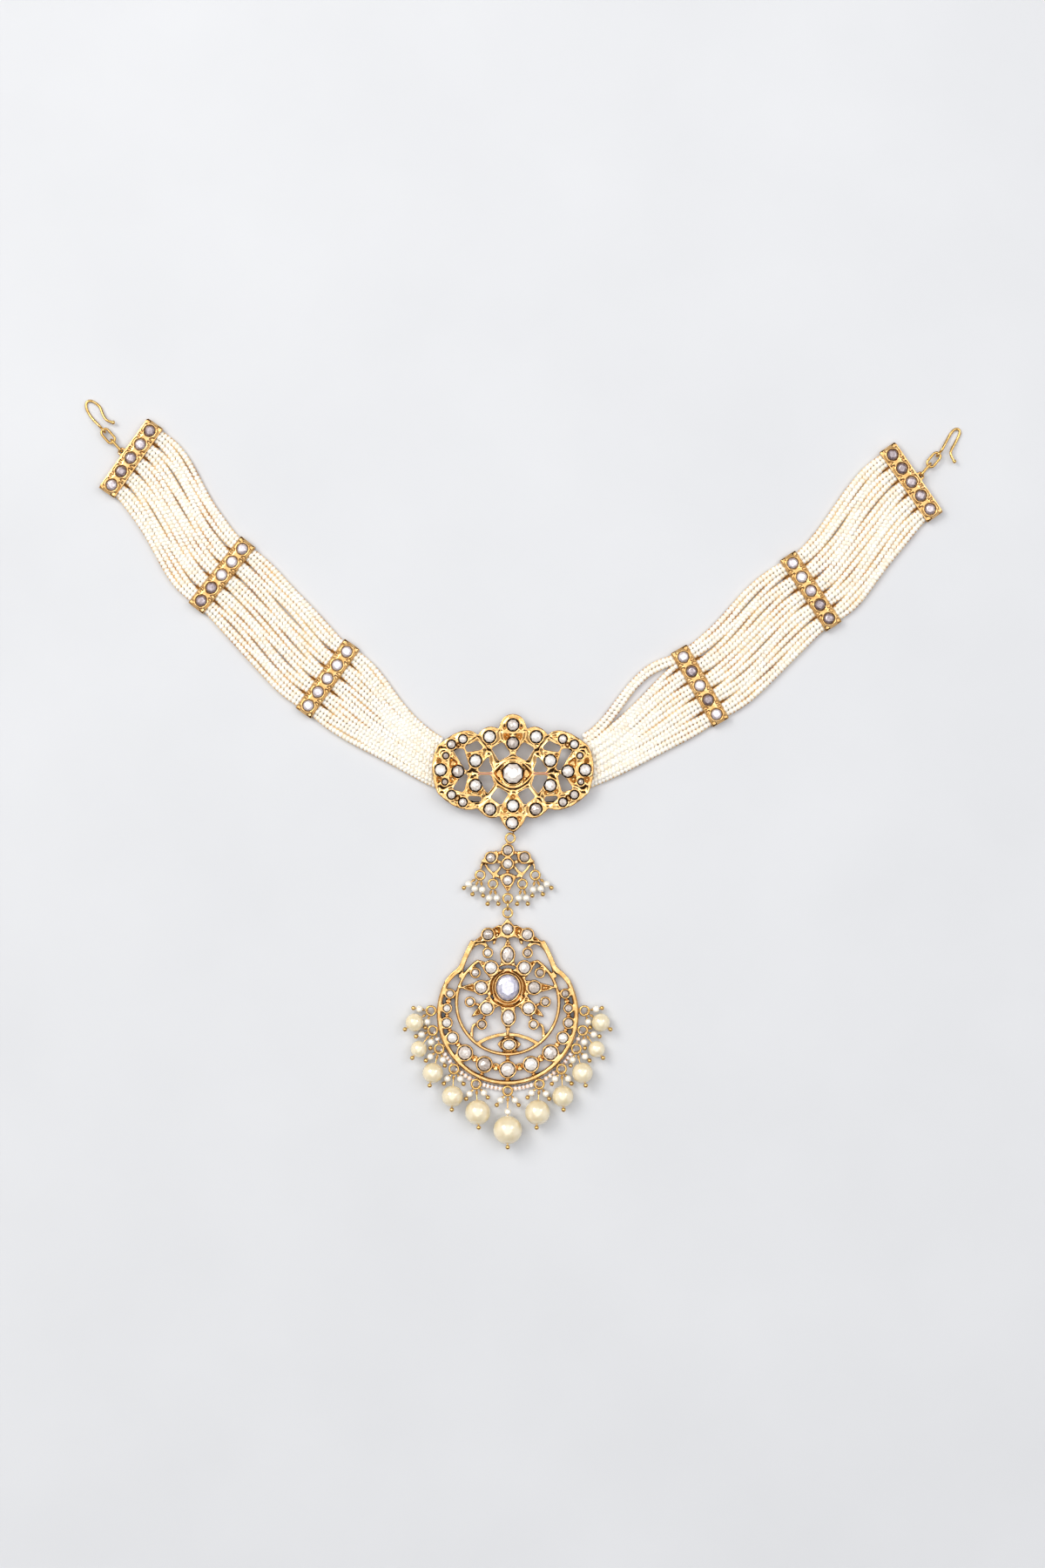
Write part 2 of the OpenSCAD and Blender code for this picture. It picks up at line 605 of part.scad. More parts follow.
module at_ring(c, turn, tilt = 0) {
    p = c + polar(jump_r, turn);
    translate([p[0], p[1], wire_z]) rotate([0, -tilt, turn]) children();
}

module bored_bead(d, bore = pin_d + 2 * gap) {
    rotate([0, 90, 0]) difference() {
        sphere(d = d);
        cylinder(h = 2 * d, d = bore, center = true);
    }
}

// Small pins: the run from the eye to the bead and to the ball, in the fringe and, longer, under the fan
past_bead = seed_d / 2 + ball_d / 2 + gap;
fringe_bead = bead_reach - jump_r;
fan_bead = bead_reach * 1.25 - jump_r;

module fan_pins() {
    color(gold) for (d = fan_drops, s = [-1, 1], turn = d[2])
        at_ring(fan_ring(d, s), -90 + turn * s) head_pin(fan_bead + past_bead);
}

module fan_seeds() {
    color(seed) for (d = fan_drops, s = [-1, 1], turn = d[2])
        at_ring(fan_ring(d, s), -90 + turn * s) translate([fan_bead, 0, 0]) bored_bead(seed_d);
}

// Pendant: shares of frame_r from the middle of its frame
function on_pendant(p) = pendant_c + p * frame_r;
star_c = [0, star_y];
// star petals from its middle: place of the stone, tip, distance of the base, how long the stone is
star_petals = [
    [[0, 0.461], [0, 0.72], 0.29, 1.3],
    [[0.235, 0.279], [0.425, 0.395], 0.22, 1],
    [[-0.235, 0.279], [-0.425, 0.395], 0.22, 1],
    [[0.373, 0], [0.7, 0], 0.22, 1],
    [[-0.373, 0], [-0.7, 0], 0.22, 1],
    [[0.294, -0.292], [0.52, -0.42], 0.25, 1],
    [[-0.294, -0.292], [-0.52, -0.42], 0.25, 1],
    [[0.01, -0.419], [0, -0.665], 0.25, 1.25]
];
// half of the plate that joins the petals, across and down
hub = [0.239, 0.272];
buds = [[0.28, 0.863], [0.454, 0.581], [0.53, 0.172], [0.364, -0.145]];
// crescent stones: place and size as a share of crescent_stone_d, from the ring's shoulder to its foot
crescent = [
    [0.811, 0.287, 0.475], [0.855, 0.081, 0.485], [0.858, -0.123, 0.6], [0.777, -0.333, 0.7],
    [0.603, -0.544, 0.95], [0.328, -0.706, 0.935], [0, -0.779, 1]
];
crest = [0, 1.196];
crest_leaf = [[-0.12, 1.1], [0.12, 1.1], [0, 1.35]];
shoulder = [0.276, 1.12];
shoulder_leaf = [[0.12, 1.26], [0.1, 1.08], [0.5, 1.01]];
lens_stone = [0.02, -0.431];
lens_half = [0.17, 0.13];
// the frame's neck from the arc up to the leaf, the scroll inside it, and the stems, for the right side
neck = [[0.861, 0.439], [0.835, 0.482], [0.765, 0.56], [0.667, 0.647], [0.613, 0.765], [0.554, 0.9],
    [0.485, 1.03]];
scroll = [[0.668, 0.51], [0.645, 0.63], [0.585, 0.8], [0.505, 0.936], [0.41, 1], [0.32, 0.98], [0.27, 0.9]];
stems = [
    [[0.454, 0.581], [0.527, 0.649]],
    [[0.53, 0.172], [0.33, 0.1]],
    [[0.364, -0.145], [0.3, 0.05]],
    [[0.364, -0.145], [0.45, -0.14], [0.5, -0.2], [0.5, -0.345]],
    [[0.2, 0.98], [0.15, 1.12]]
];
lens_rise = [[-0.42, -0.41], [0, -0.154], [0.42, -0.41]];
frame_open = 30;
ring_open = 54;

module band(inner, outer, h, open) {
    edge = min(outer - inner, h) * 0.25;
    rotate(180 - open) rotate_extrude(angle = 180 + 2 * open)
        polygon([[inner, 0], [outer, 0], [outer, h - edge], [outer - edge, h], [inner + edge, h], [inner, h - edge]]);
}

module at_pendant(p) {
    q = on_pendant(p);
    translate([q[0], q[1], 0]) children();
}

module strap(route, w, h, smooth = 4) {
    linear_extrude(height = h) polygon(ribbon([for (p = eased(route, smooth)) on_pendant(p)], w));
}

function star_leaf(row) = let (away = unit(row[0]), half = (star_stone_d / 2 + gap + collar_wall) / frame_r)
    leaf(away * row[2] - left_of(away) * half, away * row[2] + left_of(away) * half, row[1], [-0.1, 0.12]);

module dished_leaf(points, focus, h) {
    difference() {
        linear_extrude(height = h) polygon(points);
        dish(points, focus, petal_seat + gap, h);
    }
}

module oval(w, l, h) {
    linear_extrude(height = h) polygon([for (a = [0:15:345]) [w / 2 * cos(a), l / 2 * sin(a)]]);
}

// Everything round the pendant's stones is a plug of gold, the seat cut into the plug, or the stone itself
module in_settings(what) {
    for (row = star_petals) at_pendant(star_c + row[0])
        rotate(row[0][1] == 0 ? 90 : 0) setting(what, star_stone_d, row[3]);
    for (p = buds, s = [-1, 1]) at_pendant([p[0] * s, p[1]]) setting(what, bud_stone_d);
    for (c = crescent, s = (c[0] == 0 ? [1] : [-1, 1]))
        at_pendant([c[0] * s, c[1]]) setting(what, crescent_stone_d * c[2]);
    at_pendant(crest) setting(what, star_stone_d * 0.9);
    for (s = [-1, 1]) at_pendant([shoulder[0] * s, shoulder[1]]) setting(what, star_stone_d * 0.88);
    at_pendant(lens_stone) rotate(90) setting(what, star_stone_d * 0.78, 1.3);
}

module setting(what, d, stretch = 1) {
    wall = 2 * (gap + collar_wall);
    if (what == "plug" && stretch == 1) cylinder(h = pendant_t - gap, d = d + wall);
    if (what == "plug" && stretch != 1) oval(d + wall, d * stretch + wall, pendant_t - gap);
    if (what == "seat" && stretch == 1) translate([0, 0, petal_seat]) cylinder(h = pendant_t, d = d + 2 * gap);
    if (what == "seat" && stretch != 1) translate([0, 0, petal_seat])
        oval(d + 2 * gap, d * stretch + 2 * gap, pendant_t);
    if (what == "stone") translate([0, 0, petal_seat + gap]) stone(d, pendant_t * 0.45 + d * 0.15, stretch);
}

function crescent_gap(i) = let (a = crescent[i], b = crescent[i + 1])
    frame_r * norm([a[0] - b[0], a[1] - b[1]]) - crescent_stone_d * (a[2] + b[2]) / 2 - 2 * (gap + collar_wall);

module crescent_balls() {
    for (i = [0:len(crescent) - 2], s = [-1, 1]) {
        a = crescent[i];
        b = crescent[i + 1];
        free = crescent_gap(i);
        way = frame_r * norm([a[0] - b[0], a[1] - b[1]]);
        t = (crescent_stone_d * a[2] / 2 + gap + collar_wall + free / 2) / way;
        at_pendant([mix(a[0], b[0], t) * s, mix(a[1], b[1], t)])
            cylinder(h = pendant_t * 0.7, d = free + 2 * gap + collar_wall / 2);
    }
    for (c = [crescent[4], crescent[5], crescent[6]], s = (c[0] == 0 ? [1] : [-1, 1]))
        strap([[c[0] * s, c[1]], [c[0] * s * 1.12, c[1] * 1.22]], ring_w, pendant_t * 0.7, 1);
    strap([[0, crescent[6][1]], [0, ring_y - ring_share]], ring_w, pendant_t * 0.7, 1);
}

module pendant_leaves() {
    for (row = star_petals) {
        points = [for (p = star_leaf(row)) on_pendant(star_c + p)];
        dished_leaf(points, on_pendant(star_c + row[0]), petal_t);
    }
    dished_leaf([for (p = leaf(crest_leaf[0], crest_leaf[1], crest_leaf[2], [0.3, 0.25])) on_pendant(p)],
        on_pendant(crest), pendant_t);
    for (s = [-1, 1]) dished_leaf(
        [for (p = flipped(leaf(shoulder_leaf[0], shoulder_leaf[1], shoulder_leaf[2], [0.35, 0.12]), s)) on_pendant(p)],
        on_pendant([shoulder[0] * s, shoulder[1]]), pendant_t);
}

module pendant() {
    low = pendant_t * 0.7;
    inner = pendant_t * 0.85;
    centre_wall = 2 * (gap + collar_wall);
    ring_r = ring_share * frame_r;
    color(gold) difference() {
        union() {
            at_pendant([0, 0]) band(frame_r - frame_w, frame_r, pendant_t, frame_open);
            at_pendant([0, ring_y]) band(ring_r - ring_w / 2, ring_r + ring_w / 2, inner, ring_open);
            for (s = [-1, 1]) {
                strap(flipped(neck, s), frame_w, pendant_t);
                strap(flipped(scroll, s), ring_w, inner);
                for (row = stems) strap(flipped(row, s), ring_w * 0.8, low, 2);
            }
            strap(concat(bend(lens_rise[0], lens_rise[1], lens_rise[2]), [lens_rise[2]]), ring_w, inner, 1);
            at_pendant(star_c) oval(2 * hub[0] * frame_r, 2 * hub[1] * frame_r, petal_seat);
            at_pendant(star_c) oval(oval_w + centre_wall, oval_l + centre_wall, pendant_t * 1.1);
            at_pendant(lens_stone) linear_extrude(height = petal_seat)
                marquise(lens_half[0] * frame_r, lens_half[1] * frame_r);
            pendant_leaves();
            crescent_balls();
            in_settings("plug");
            translate([pendant_eye[0], pendant_eye[1], wire_z]) eye(90);
            for (n = [1:11]) at_drop(n) eye(90);
        }
        in_settings("seat");
        at_pendant(star_c) translate([0, 0, petal_seat]) oval(oval_w + 2 * gap, oval_l + 2 * gap, pendant_t);
    }
}

module pendant_stones() {
    color(crystal) in_settings("stone");
}

module pendant_centre_stone() {
    color(crystal) at_pendant(star_c) translate([0, 0, petal_seat + gap])
        stone(oval_w, pendant_t * 0.7, oval_l / oval_w);
}

module pendant_links() {
    pitch = 2 * jump_r - jump_wire_d - gap;
    color(gold) for (i = [0:hanging_links - 1]) {
        p = fan_foot_eye - [0, jump_r + i * pitch];
        translate([p[0], p[1], wire_z]) rotate([0, i % 2 * 90, 0]) torus(jump_r, jump_wire_d);
    }
}

// Pearl fringe: drop 6 hangs lowest, 1 is at the left end and 11 at the right
lowest = 6;
function drop_row(n) = drops[abs(n - lowest)];
function drop_side(n) = n < lowest ? -1 : 1;
function below(r, a, n) = pendant_c + [r * sin(a) * drop_side(n), -r * cos(a)];
function ring_c(n) = below(fringe_ring_r, drop_row(n)[0], n);
function pearl_size(n) = pearl_d * drop_row(n)[3];
function pearl_c(n) = below(frame_r * drop_row(n)[2], drop_row(n)[1], n);
function pin_turn(n) = let (v = pearl_c(n) - ring_c(n)) atan2(v[1], v[0]);
function pin_flat(n) = norm(pearl_c(n) - ring_c(n)) - jump_r;
function pin_rise(n) = pearl_size(n) / 2 - wire_z;
function pin_tilt(n) = atan2(pin_rise(n), pin_flat(n));
function pin_run(n) = norm([pin_flat(n), pin_rise(n)]);

module at_drop(n) {
    p = below(fringe_eye_r, drop_row(n)[0], n);
    translate([p[0], p[1], wire_z]) rotate(drop_row(n)[0] * drop_side(n)) children();
}

module drop_pearl(n) {
    color(pearl) at_ring(ring_c(n), pin_turn(n), pin_tilt(n)) translate([pin_run(n), 0, 0])
        bored_bead(pearl_size(n), bore_d);
}

module drop_pin(n) {
    color(gold) at_ring(ring_c(n), pin_turn(n), pin_tilt(n))
        head_pin(pin_run(n) + pearl_size(n) / 2 + ball_d / 2 + gap);
}

module for_small_pins() {
    for (n = [1:11], k = [0, 1])
        at_ring(ring_c(n), pin_turn(n) + (2 * k - 1) * drop_side(n) * drop_row(n)[4 + k]) children();
}

module fringe_rings() {
    color(gold) for (n = [1:11]) jump_ring(ring_c(n));
}

module fringe_pins() {
    color(gold) for_small_pins() head_pin(fringe_bead + past_bead);
}

module fringe_seeds() {
    color(seed) {
        for_small_pins() translate([fringe_bead, 0, 0]) bored_bead(seed_d);
        at_ring(ring_c(lowest), -90, pin_tilt(lowest))
            translate([pin_run(lowest) - pearl_d / 2 - seed_d / 2 - gap, 0, 0]) bored_bead(seed_d);
    }
}

// The beads that edge the frame hang on a thread between the eyes; it stands here for thread and beads
module edging_thread() {
    clear = asin((eye_r + pin_d + gap) / edging_r);
    color(seed) for (n = [2:10]) if (n != lowest) {
        inner = drops[abs(n - lowest) - 1][0] + clear;
        sweep = drop_row(n)[0] - clear - inner;
        at_pendant([0, 0]) translate([0, 0, edging_d / 2])
            rotate(drop_side(n) > 0 ? inner - 90 : -90 - inner - sweep)
                rotate_extrude(angle = sweep, $fn = 96) translate([edging_r, 0]) circle(d = edging_d, $fn = 16);
    }
}

// Chain and hook at the end of a side, for the right side
function chain_start(route) = bar_at(route, len(route) - 1)
    + polar(bar_eye_y, bar_turn(route, len(route) - 1) - 90);

module chain_link() {
    r = (link_w - link_wire_d) / 2;
    straight = link_l - link_w;
    translate([r, 0, 0]) rotate(90) rotate_extrude(angle = 180) translate([r, 0]) circle(d = link_wire_d, $fn = 24);
    translate([r + straight, 0, 0]) rotate(-90) rotate_extrude(angle = 180) translate([r, 0])
        circle(d = link_wire_d, $fn = 24);
    for (s = [-1, 1]) translate([r, s * r, 0]) rotate([0, 90, 0]) cylinder(h = straight, d = link_wire_d, $fn = 24);
}

module on_chain(n, along) {
    route = n == 0 ? route_left : route_right;
    p = chain_start(route) + polar(along, hook_headings[n][0]);
    translate([p[0], p[1], chain_z]) rotate(hook_headings[n][0]) children();
}

module link(n, i) {
    color(gold) on_chain(n, i * (link_run - link_wire_d - link_clear)) rotate([90 - i * 90, 0, 0]) chain_link();
}

module hook(n) {
    start = 2 * link_run - link_wire_d - link_clear - (link_wire_d + hook_wire_d) / 2 - link_clear;
    turn = hook_headings[n][1] - hook_headings[n][0];
    drop = chain_z - hook_wire_d / 2;
    ring = [for (a = [75:30:315]) [hook_eye_r + hook_eye_r * cos(a), 0, hook_eye_r * sin(a)]];
    bend_out = [2 * hook_eye_r + hook_wire_d / 2, 0, 0];
    bow = [for (p = eased(n == 0 ? hook_left : hook_right, 3)) if (p[0] > 0.1 || p[1] != 0)
        bend_out + [(p[0] * cos(turn) - p[1] * sin(turn)) * hook_l, (p[0] * sin(turn) + p[1] * cos(turn)) * hook_l,
            -drop * min(1, max(0, p[0] * 1.8))]];
    color(gold) on_chain(n, start) wire(concat(ring, [bend_out], bow), hook_wire_d, 8, true);
}

plaque();
plaque_stones();
plaque_centre_stone();
for (n = [0, 1]) mirror([1 - n, 0, 0]) {
    name = side_names[n];
    route = n == 0 ? route_left : route_right;
    for (i = [0:len(route) - 1]) {
        bar(route, i);
        section(route, i, i == 0 ? n * loose_strands : 0);
    }
    bar_stones(route);
    for (i = [0, 1]) link(n, i);
    hook(n);
}
fan_link();
fan();
fan_stones();
fan_rings();
fan_pins();
fan_seeds();
pendant_links();
pendant();
pendant_stones();
pendant_centre_stone();
for (n = [1:len(numbers)]) {
    drop_pearl(n);
    drop_pin(n);
}
fringe_rings();
fringe_pins();
fringe_seeds();
edging_thread();
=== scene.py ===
"""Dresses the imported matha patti: seed pearl strands, gold, foiled stones, pearl drops and the stage."""

import math
import random

import bmesh
import bpy
from mathutils import Matrix, Vector, kdtree


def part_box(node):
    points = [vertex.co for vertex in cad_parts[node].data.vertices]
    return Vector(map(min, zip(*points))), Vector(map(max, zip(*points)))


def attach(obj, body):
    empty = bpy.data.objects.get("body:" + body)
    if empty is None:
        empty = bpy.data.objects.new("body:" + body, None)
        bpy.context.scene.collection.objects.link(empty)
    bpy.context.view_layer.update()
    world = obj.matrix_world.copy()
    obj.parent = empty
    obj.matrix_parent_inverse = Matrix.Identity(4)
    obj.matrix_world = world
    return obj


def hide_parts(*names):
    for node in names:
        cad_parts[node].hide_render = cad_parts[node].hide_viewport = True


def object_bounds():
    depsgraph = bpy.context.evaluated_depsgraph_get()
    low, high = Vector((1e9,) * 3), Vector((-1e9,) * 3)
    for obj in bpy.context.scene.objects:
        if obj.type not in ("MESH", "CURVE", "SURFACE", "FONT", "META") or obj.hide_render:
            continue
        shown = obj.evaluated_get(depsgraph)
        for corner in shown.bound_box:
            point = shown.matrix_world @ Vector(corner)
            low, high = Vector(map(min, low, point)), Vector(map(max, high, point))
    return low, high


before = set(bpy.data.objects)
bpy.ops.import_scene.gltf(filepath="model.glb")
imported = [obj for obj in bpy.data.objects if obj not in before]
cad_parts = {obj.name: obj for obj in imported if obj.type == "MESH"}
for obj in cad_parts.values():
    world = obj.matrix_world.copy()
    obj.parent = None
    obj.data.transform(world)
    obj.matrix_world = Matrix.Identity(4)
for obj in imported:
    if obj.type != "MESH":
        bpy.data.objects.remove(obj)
cad_low, cad_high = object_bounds()

bl_info = {
    "name": "Matha Patti",
    "version": (1, 0, 0),
    "blender": (4, 5, 0),
    "location": "View3D > Sidebar > Patti",
    "description": "Strands, gold, stones, pearls and stage for a laid out head ornament",
    "category": "Object",
}

MM = 0.001
SIDES = {"left": -1, "right": 1}
BARS = 3
GROUPS = 5
GROUP = 3
STRANDS = GROUPS * GROUP
LOOSE = 2
DROPS = [f"{n:02d}" for n in range(1, 12)]
PINS = ["fringe_pins", "fan_pins"] + [f"pearl_pin_{n}" for n in DROPS]


# Small tools


def linear(tone):
    """An sRGB hex colour as linear RGBA."""
    parts = [int(tone[i : i + 2], 16) / 255 for i in (1, 3, 5)]
    return tuple(c / 12.92 if c <= 0.04045 else ((c + 0.055) / 1.055) ** 2.4 for c in parts) + (1.0,)


def node(tree, kind, inputs=None, stops=(), **settings):
    """Adds a node with its settings, inputs and ramp stops; a node as an input means its first output."""
    made = tree.nodes.new(kind)
    for key, value in settings.items():
        setattr(made, key, value)
    for key, value in (inputs or {}).items():
        if isinstance(value, bpy.types.Node):
            value = value.outputs[0]
        if isinstance(value, bpy.types.NodeSocket):
            tree.links.new(value, made.inputs[key])
        else:
            made.inputs[key].default_value = value
    for i, (place, tone) in enumerate(stops):
        band = made.color_ramp.elements
        if i == len(band):
            band.new(1.0)
        band[i].position = place
        band[i].color = linear(tone) if isinstance(tone, str) else tone
    return made


def material(build):
    """The node material that the function builds and is named for, made once."""
    name = build.__name__
    if name in bpy.data.materials:
        return bpy.data.materials[name]
    made = bpy.data.materials.new(name)
    made.use_nodes = True
    made.node_tree.nodes.clear()
    finish = build(made.node_tree, bpy.context.scene.patti_colours)
    surface = node(made.node_tree, "ShaderNodeBsdfPrincipled", finish)
    node(made.node_tree, "ShaderNodeOutputMaterial", {"Surface": surface})
    return made


def welded(name, near=2e-6):
    """A copy of a CAD node's mesh, its corners merged."""
    whole = bmesh.new()
    whole.from_mesh(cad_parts[name].data)
    bmesh.ops.remove_doubles(whole, verts=whole.verts, dist=near)
    return whole


def corners(name):
    """The loose solids of a CAD node, in a fixed order, each as a list of its corners."""
    mesh = welded(name, 1e-6)
    mesh.verts.ensure_lookup_table()
    seen = [False] * len(mesh.verts)
    found = []
    for first in mesh.verts:
        if seen[first.index]:
            continue
        seen[first.index] = True
        pile = [first]
        group = []
        while pile:
            corner = pile.pop()
            group.append(corner.co.copy())
            for edge in corner.link_edges:
                other = edge.other_vert(corner)
                if not seen[other.index]:
                    seen[other.index] = True
                    pile.append(other)
        found.append(group)
    mesh.free()
    return found


def middle(points):
    """The middle of the points' box."""
    return Vector([(min(p[i] for p in points) + max(p[i] for p in points)) / 2 for i in range(3)])


def as_object(name, mesh):
    """A mesh or an edited mesh as an object in the scene."""
    if isinstance(mesh, bmesh.types.BMesh):
        data = bpy.data.meshes.new(name)
        mesh.to_mesh(data)
        mesh.free()
        mesh = data
    made = bpy.data.objects.new(name, mesh)
    bpy.context.scene.collection.objects.link(made)
    return made


def settled(made, smooth=None):
    """Turns what the object's modifiers show into its plain mesh."""
    graph = bpy.context.evaluated_depsgraph_get()
    data = bpy.data.meshes.new_from_object(made.evaluated_get(graph), depsgraph=graph)
    old = made.data
    made.modifiers.clear()
    made.data = data
    bpy.data.meshes.remove(old)
    if smooth is not None:
        data.shade_smooth()
        data.set_sharp_from_angle(angle=math.radians(smooth))
    return made


def handed(made, slot, *nodes):
    """Hangs a finished piece on the root, and hides the nodes that it stands for."""
    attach(made, "root")
    if nodes:
        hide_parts(*nodes)


def grown(name, mesh, tree, values, slot, *nodes, smooth=None):
    """Makes what the tree grows on the mesh with those inputs into a plain mesh, hung on the root in place
    of the nodes.
    """
    made = as_object(name, mesh)
    modifier = made.modifiers.new(tree.name, "NODES")
    modifier.node_group = tree
    for item in tree.interface.items_tree:
        if item.item_type == "SOCKET" and item.in_out == "INPUT" and item.name in values:
            modifier[item.identifier] = values[item.name]
    made.update_tag()
    settled(made, smooth)
    handed(made, slot, *nodes)


def new_tree(name, inputs):
    """An empty geometry tree with named inputs of (name, kind, default)."""
    tree = bpy.data.node_groups.new(name, "GeometryNodeTree")
    tree.interface.new_socket("Geometry", in_out="INPUT", socket_type="NodeSocketGeometry")
    for label, kind, value in inputs:
        socket = tree.interface.new_socket(label, in_out="INPUT", socket_type="NodeSocket" + kind)
        if value is not None:
            socket.default_value = value
    tree.interface.new_socket("Geometry", in_out="OUTPUT", socket_type="NodeSocketGeometry")
    return tree, node(tree, "NodeGroupInput").outputs


# Sizes and colours that can be changed


def metres(name, description, default):
    """A length, in metres."""
    return bpy.props.FloatProperty(name=name, description=description, default=default, unit="LENGTH")


def colour(name, description, default):
    """A colour, given as sRGB hex."""
    return bpy.props.FloatVectorProperty(
        name=name, description=description, default=linear(default), size=4, min=0, max=1, subtype="COLOR"
    )


class PattiBand(bpy.types.PropertyGroup):
    bead_d: metres("Seed pearl", "Diameter of a seed pearl", 1.72 * MM)
    bead_pitch: metres("Pitch", "Run of the strand that one pearl takes", 1.16 * MM)
    strand_pitch: metres("Strand pitch", "Distance between strands where a group meets a bar", 1.2 * MM)
    bar_w: metres("Bar width", "Width of a spacer bar", 5.4 * MM)
    gather: metres("Gather", "How far from a bar the strands draw together", 5 * MM)
    waver: metres("Waver", "How far a strand strays from its line", 0.34 * MM)
    belly: metres("Belly", "How far a section's outer strands bow", 0.35 * MM)
    loose_bow: metres("Loose bow", "How far the loose strands bow out", 2.4 * MM)
    thread_d: metres("Thread", "Diameter of the thread", 0.4 * MM)
    # the cord is painted shade: a flat tan band under each strand that fills the gaps between its pearls
    shade_cord_h: metres("Shade cord height", "Height of the cord under a strand", 0.8 * MM)
    # the wedges are painted shade: dark brown where the gaps between groups of strands meet a bar
    shade_wedge_w: metres("Shade wedge width", "Width of a thread knot at its bar", 1.5 * MM)
    shade_wedge_l: metres("Shade wedge length", "Reach of a thread knot from its bar", 2.6 * MM)
    edging_d: metres("Edging bead", "Diameter of the pendant's beads", 1.6 * MM)
    edging_pitch: metres("Edging pitch", "Run of the edging one bead takes", 1.15 * MM)


class PattiMetal(bpy.types.PropertyGroup):
    grain: metres("Grain", "Smallest form the worked sheet keeps", 0.24 * MM)
    rim: metres("Rim", "Half width of the rim along an edge", 0.34 * MM)
    rim_rise: metres("Rim rise", "Height of a rim above the sheet", 0.12 * MM)
    sink: metres("Sink", "Depth of the sheet between its rims", 0.7 * MM)
    slope: metres("Slope", "Run over which the sheet sinks", 1.0 * MM)
    foot: metres("Foot", "Least height of the plaque inside its outer wall", 3.1 * MM)
    widen: metres("Widen", "How far the openwork's walls draw back", 0.28 * MM)
    tray: metres("Tray", "Height of a bar's cell floors", 2.5 * MM)
    bar_sink: metres("Bar sink", "How deep a spacer bar's top sinks", 0.3 * MM)
    ring_wire: metres("Ring wire", "Diameter of a jump ring's wire", 0.66 * MM)
    wrap_wire: metres("Wrap wire", "Diameter of the wire round a pin", 0.3 * MM)
    binding_d: metres("Binding wire", "Diameter of the plaque's copper wires", 0.6 * MM)


class PattiColours(bpy.types.PropertyGroup):
    gold: colour("Gold", "Middle tone of the plates", "#D8AE74")
    wire: colour("Wire", "Middle tone of the wire", "#DFBA78")
    copper: colour("Copper", "Binding wires", "#D9A08A")
    crystal: colour("Crystal", "Pendant's centre stone", "#C2C1DA")
    pearl: colour("Pearl", "Crown of a drop pearl", "#F3E7C9")
    seed: colour("Seed pearl", "Strung seed pearls", "#FDF5E6")
    thread: colour("Thread", "Cotton thread", "#DFAE6C")
    paper: colour("Paper", "Backdrop", "#D7D9DD")


class PattiStage(bpy.types.PropertyGroup):
    floor_size: metres("Floor", "Side of the floor", 6.0)
    camera_height: metres("Camera height", "Height of the lens above the ornament", 0.9)
    shown_height: metres("Shown height", "What the picture takes in, top to bottom", 0.45)


# Materials: each gives the inputs of its surface


MULTIPLY = {"data_type": "RGBA", "blend_type": "MULTIPLY"}


def patches(tree, size, detail):
    """Soft patches of that size all over the object, from 0 to 1."""
    place = node(tree, "ShaderNodeTexCoord").outputs["Object"]
    look = {"Vector": place, "Scale": 1 / size, "Detail": detail}
    return node(tree, "ShaderNodeTexNoise", look)


def mean(tree, first, second):
    """The mean of two values."""
    both = node(tree, "ShaderNodeMath", {0: first, 1: second}, operation="ADD")
    return node(tree, "ShaderNodeMath", {0: both, 1: 0.5}, operation="MULTIPLY")


def with_painted_hollow_shade(tree, tone, reach, stops):
    """The tone with painted shade: darkened by ambient occlusion in hollows narrower than the reach."""
    hollow = node(tree, "ShaderNodeAmbientOcclusion", {"Distance": reach}, samples=6).outputs["AO"]
    painted_shade = node(tree, "ShaderNodeValToRGB", {"Fac": hollow}, stops=stops)
    return node(tree, "ShaderNodeMix", {"Factor": 1.0, 6: tone, 7: painted_shade}, **MULTIPLY).outputs[2]


def polished_gold(tree, colours):
    # high karat gold over lac, burnished by hand: a warm mirror with faint waves, and painted shade where
    # its hollows darken by ambient occlusion
    waves = patches(tree, 1.6 * MM, 3.0)
    stops = [(0.3, "#C4965A"), (0.55, colours.gold), (0.75, "#ECC894")]
    tone = node(tree, "ShaderNodeValToRGB", {"Fac": waves}, stops=stops)
    worn = {"Value": patches(tree, 0.35 * MM, 2.0), "To Min": 0.08, "To Max": 0.22}
    relief = {"Height": waves, "Strength": 0.4, "Distance": 0.14 * MM}
    return {
        # painted shade: the plates' hollows darkened by ambient occlusion
        "Base Color": with_painted_hollow_shade(tree, tone, 1.5 * MM, [(0.24, "#2C1206"), (0.64, "#FFFFFF")]),
        "Metallic": 1.0,
        "Roughness": node(tree, "ShaderNodeMapRange", worn),
        "Normal": node(tree, "ShaderNodeBump", relief),
    }


def drawn_gold_wire(tree, colours):
    # drawn gold wire: smoother than the plates, with a little draw-plate grain
    stops = [(0.3, "#CFA35A"), (0.6, colours.wire), (0.8, "#F0D39C")]
    grain = {"Fac": patches(tree, 0.5 * MM, 2.0)}
    tone = node(tree, "ShaderNodeValToRGB", grain, stops=stops)
    # painted shade: the wire darkened by ambient occlusion where it lies in narrow hollows
    wire_tone_with_painted_shade = with_painted_hollow_shade(tree, tone, 0.5 * MM, [(0.08, "#93642A"), (0.36, "#FFFFFF")])
    return {"Base Color": wire_tone_with_painted_shade, "Metallic": 1.0, "Roughness": 0.22}


def copper_wire(tree, colours):
    # thin copper binding wire: rosy against the gold, dulled by handling
    return {"Base Color": colours.copper, "Metallic": 1.0, "Roughness": 0.34}


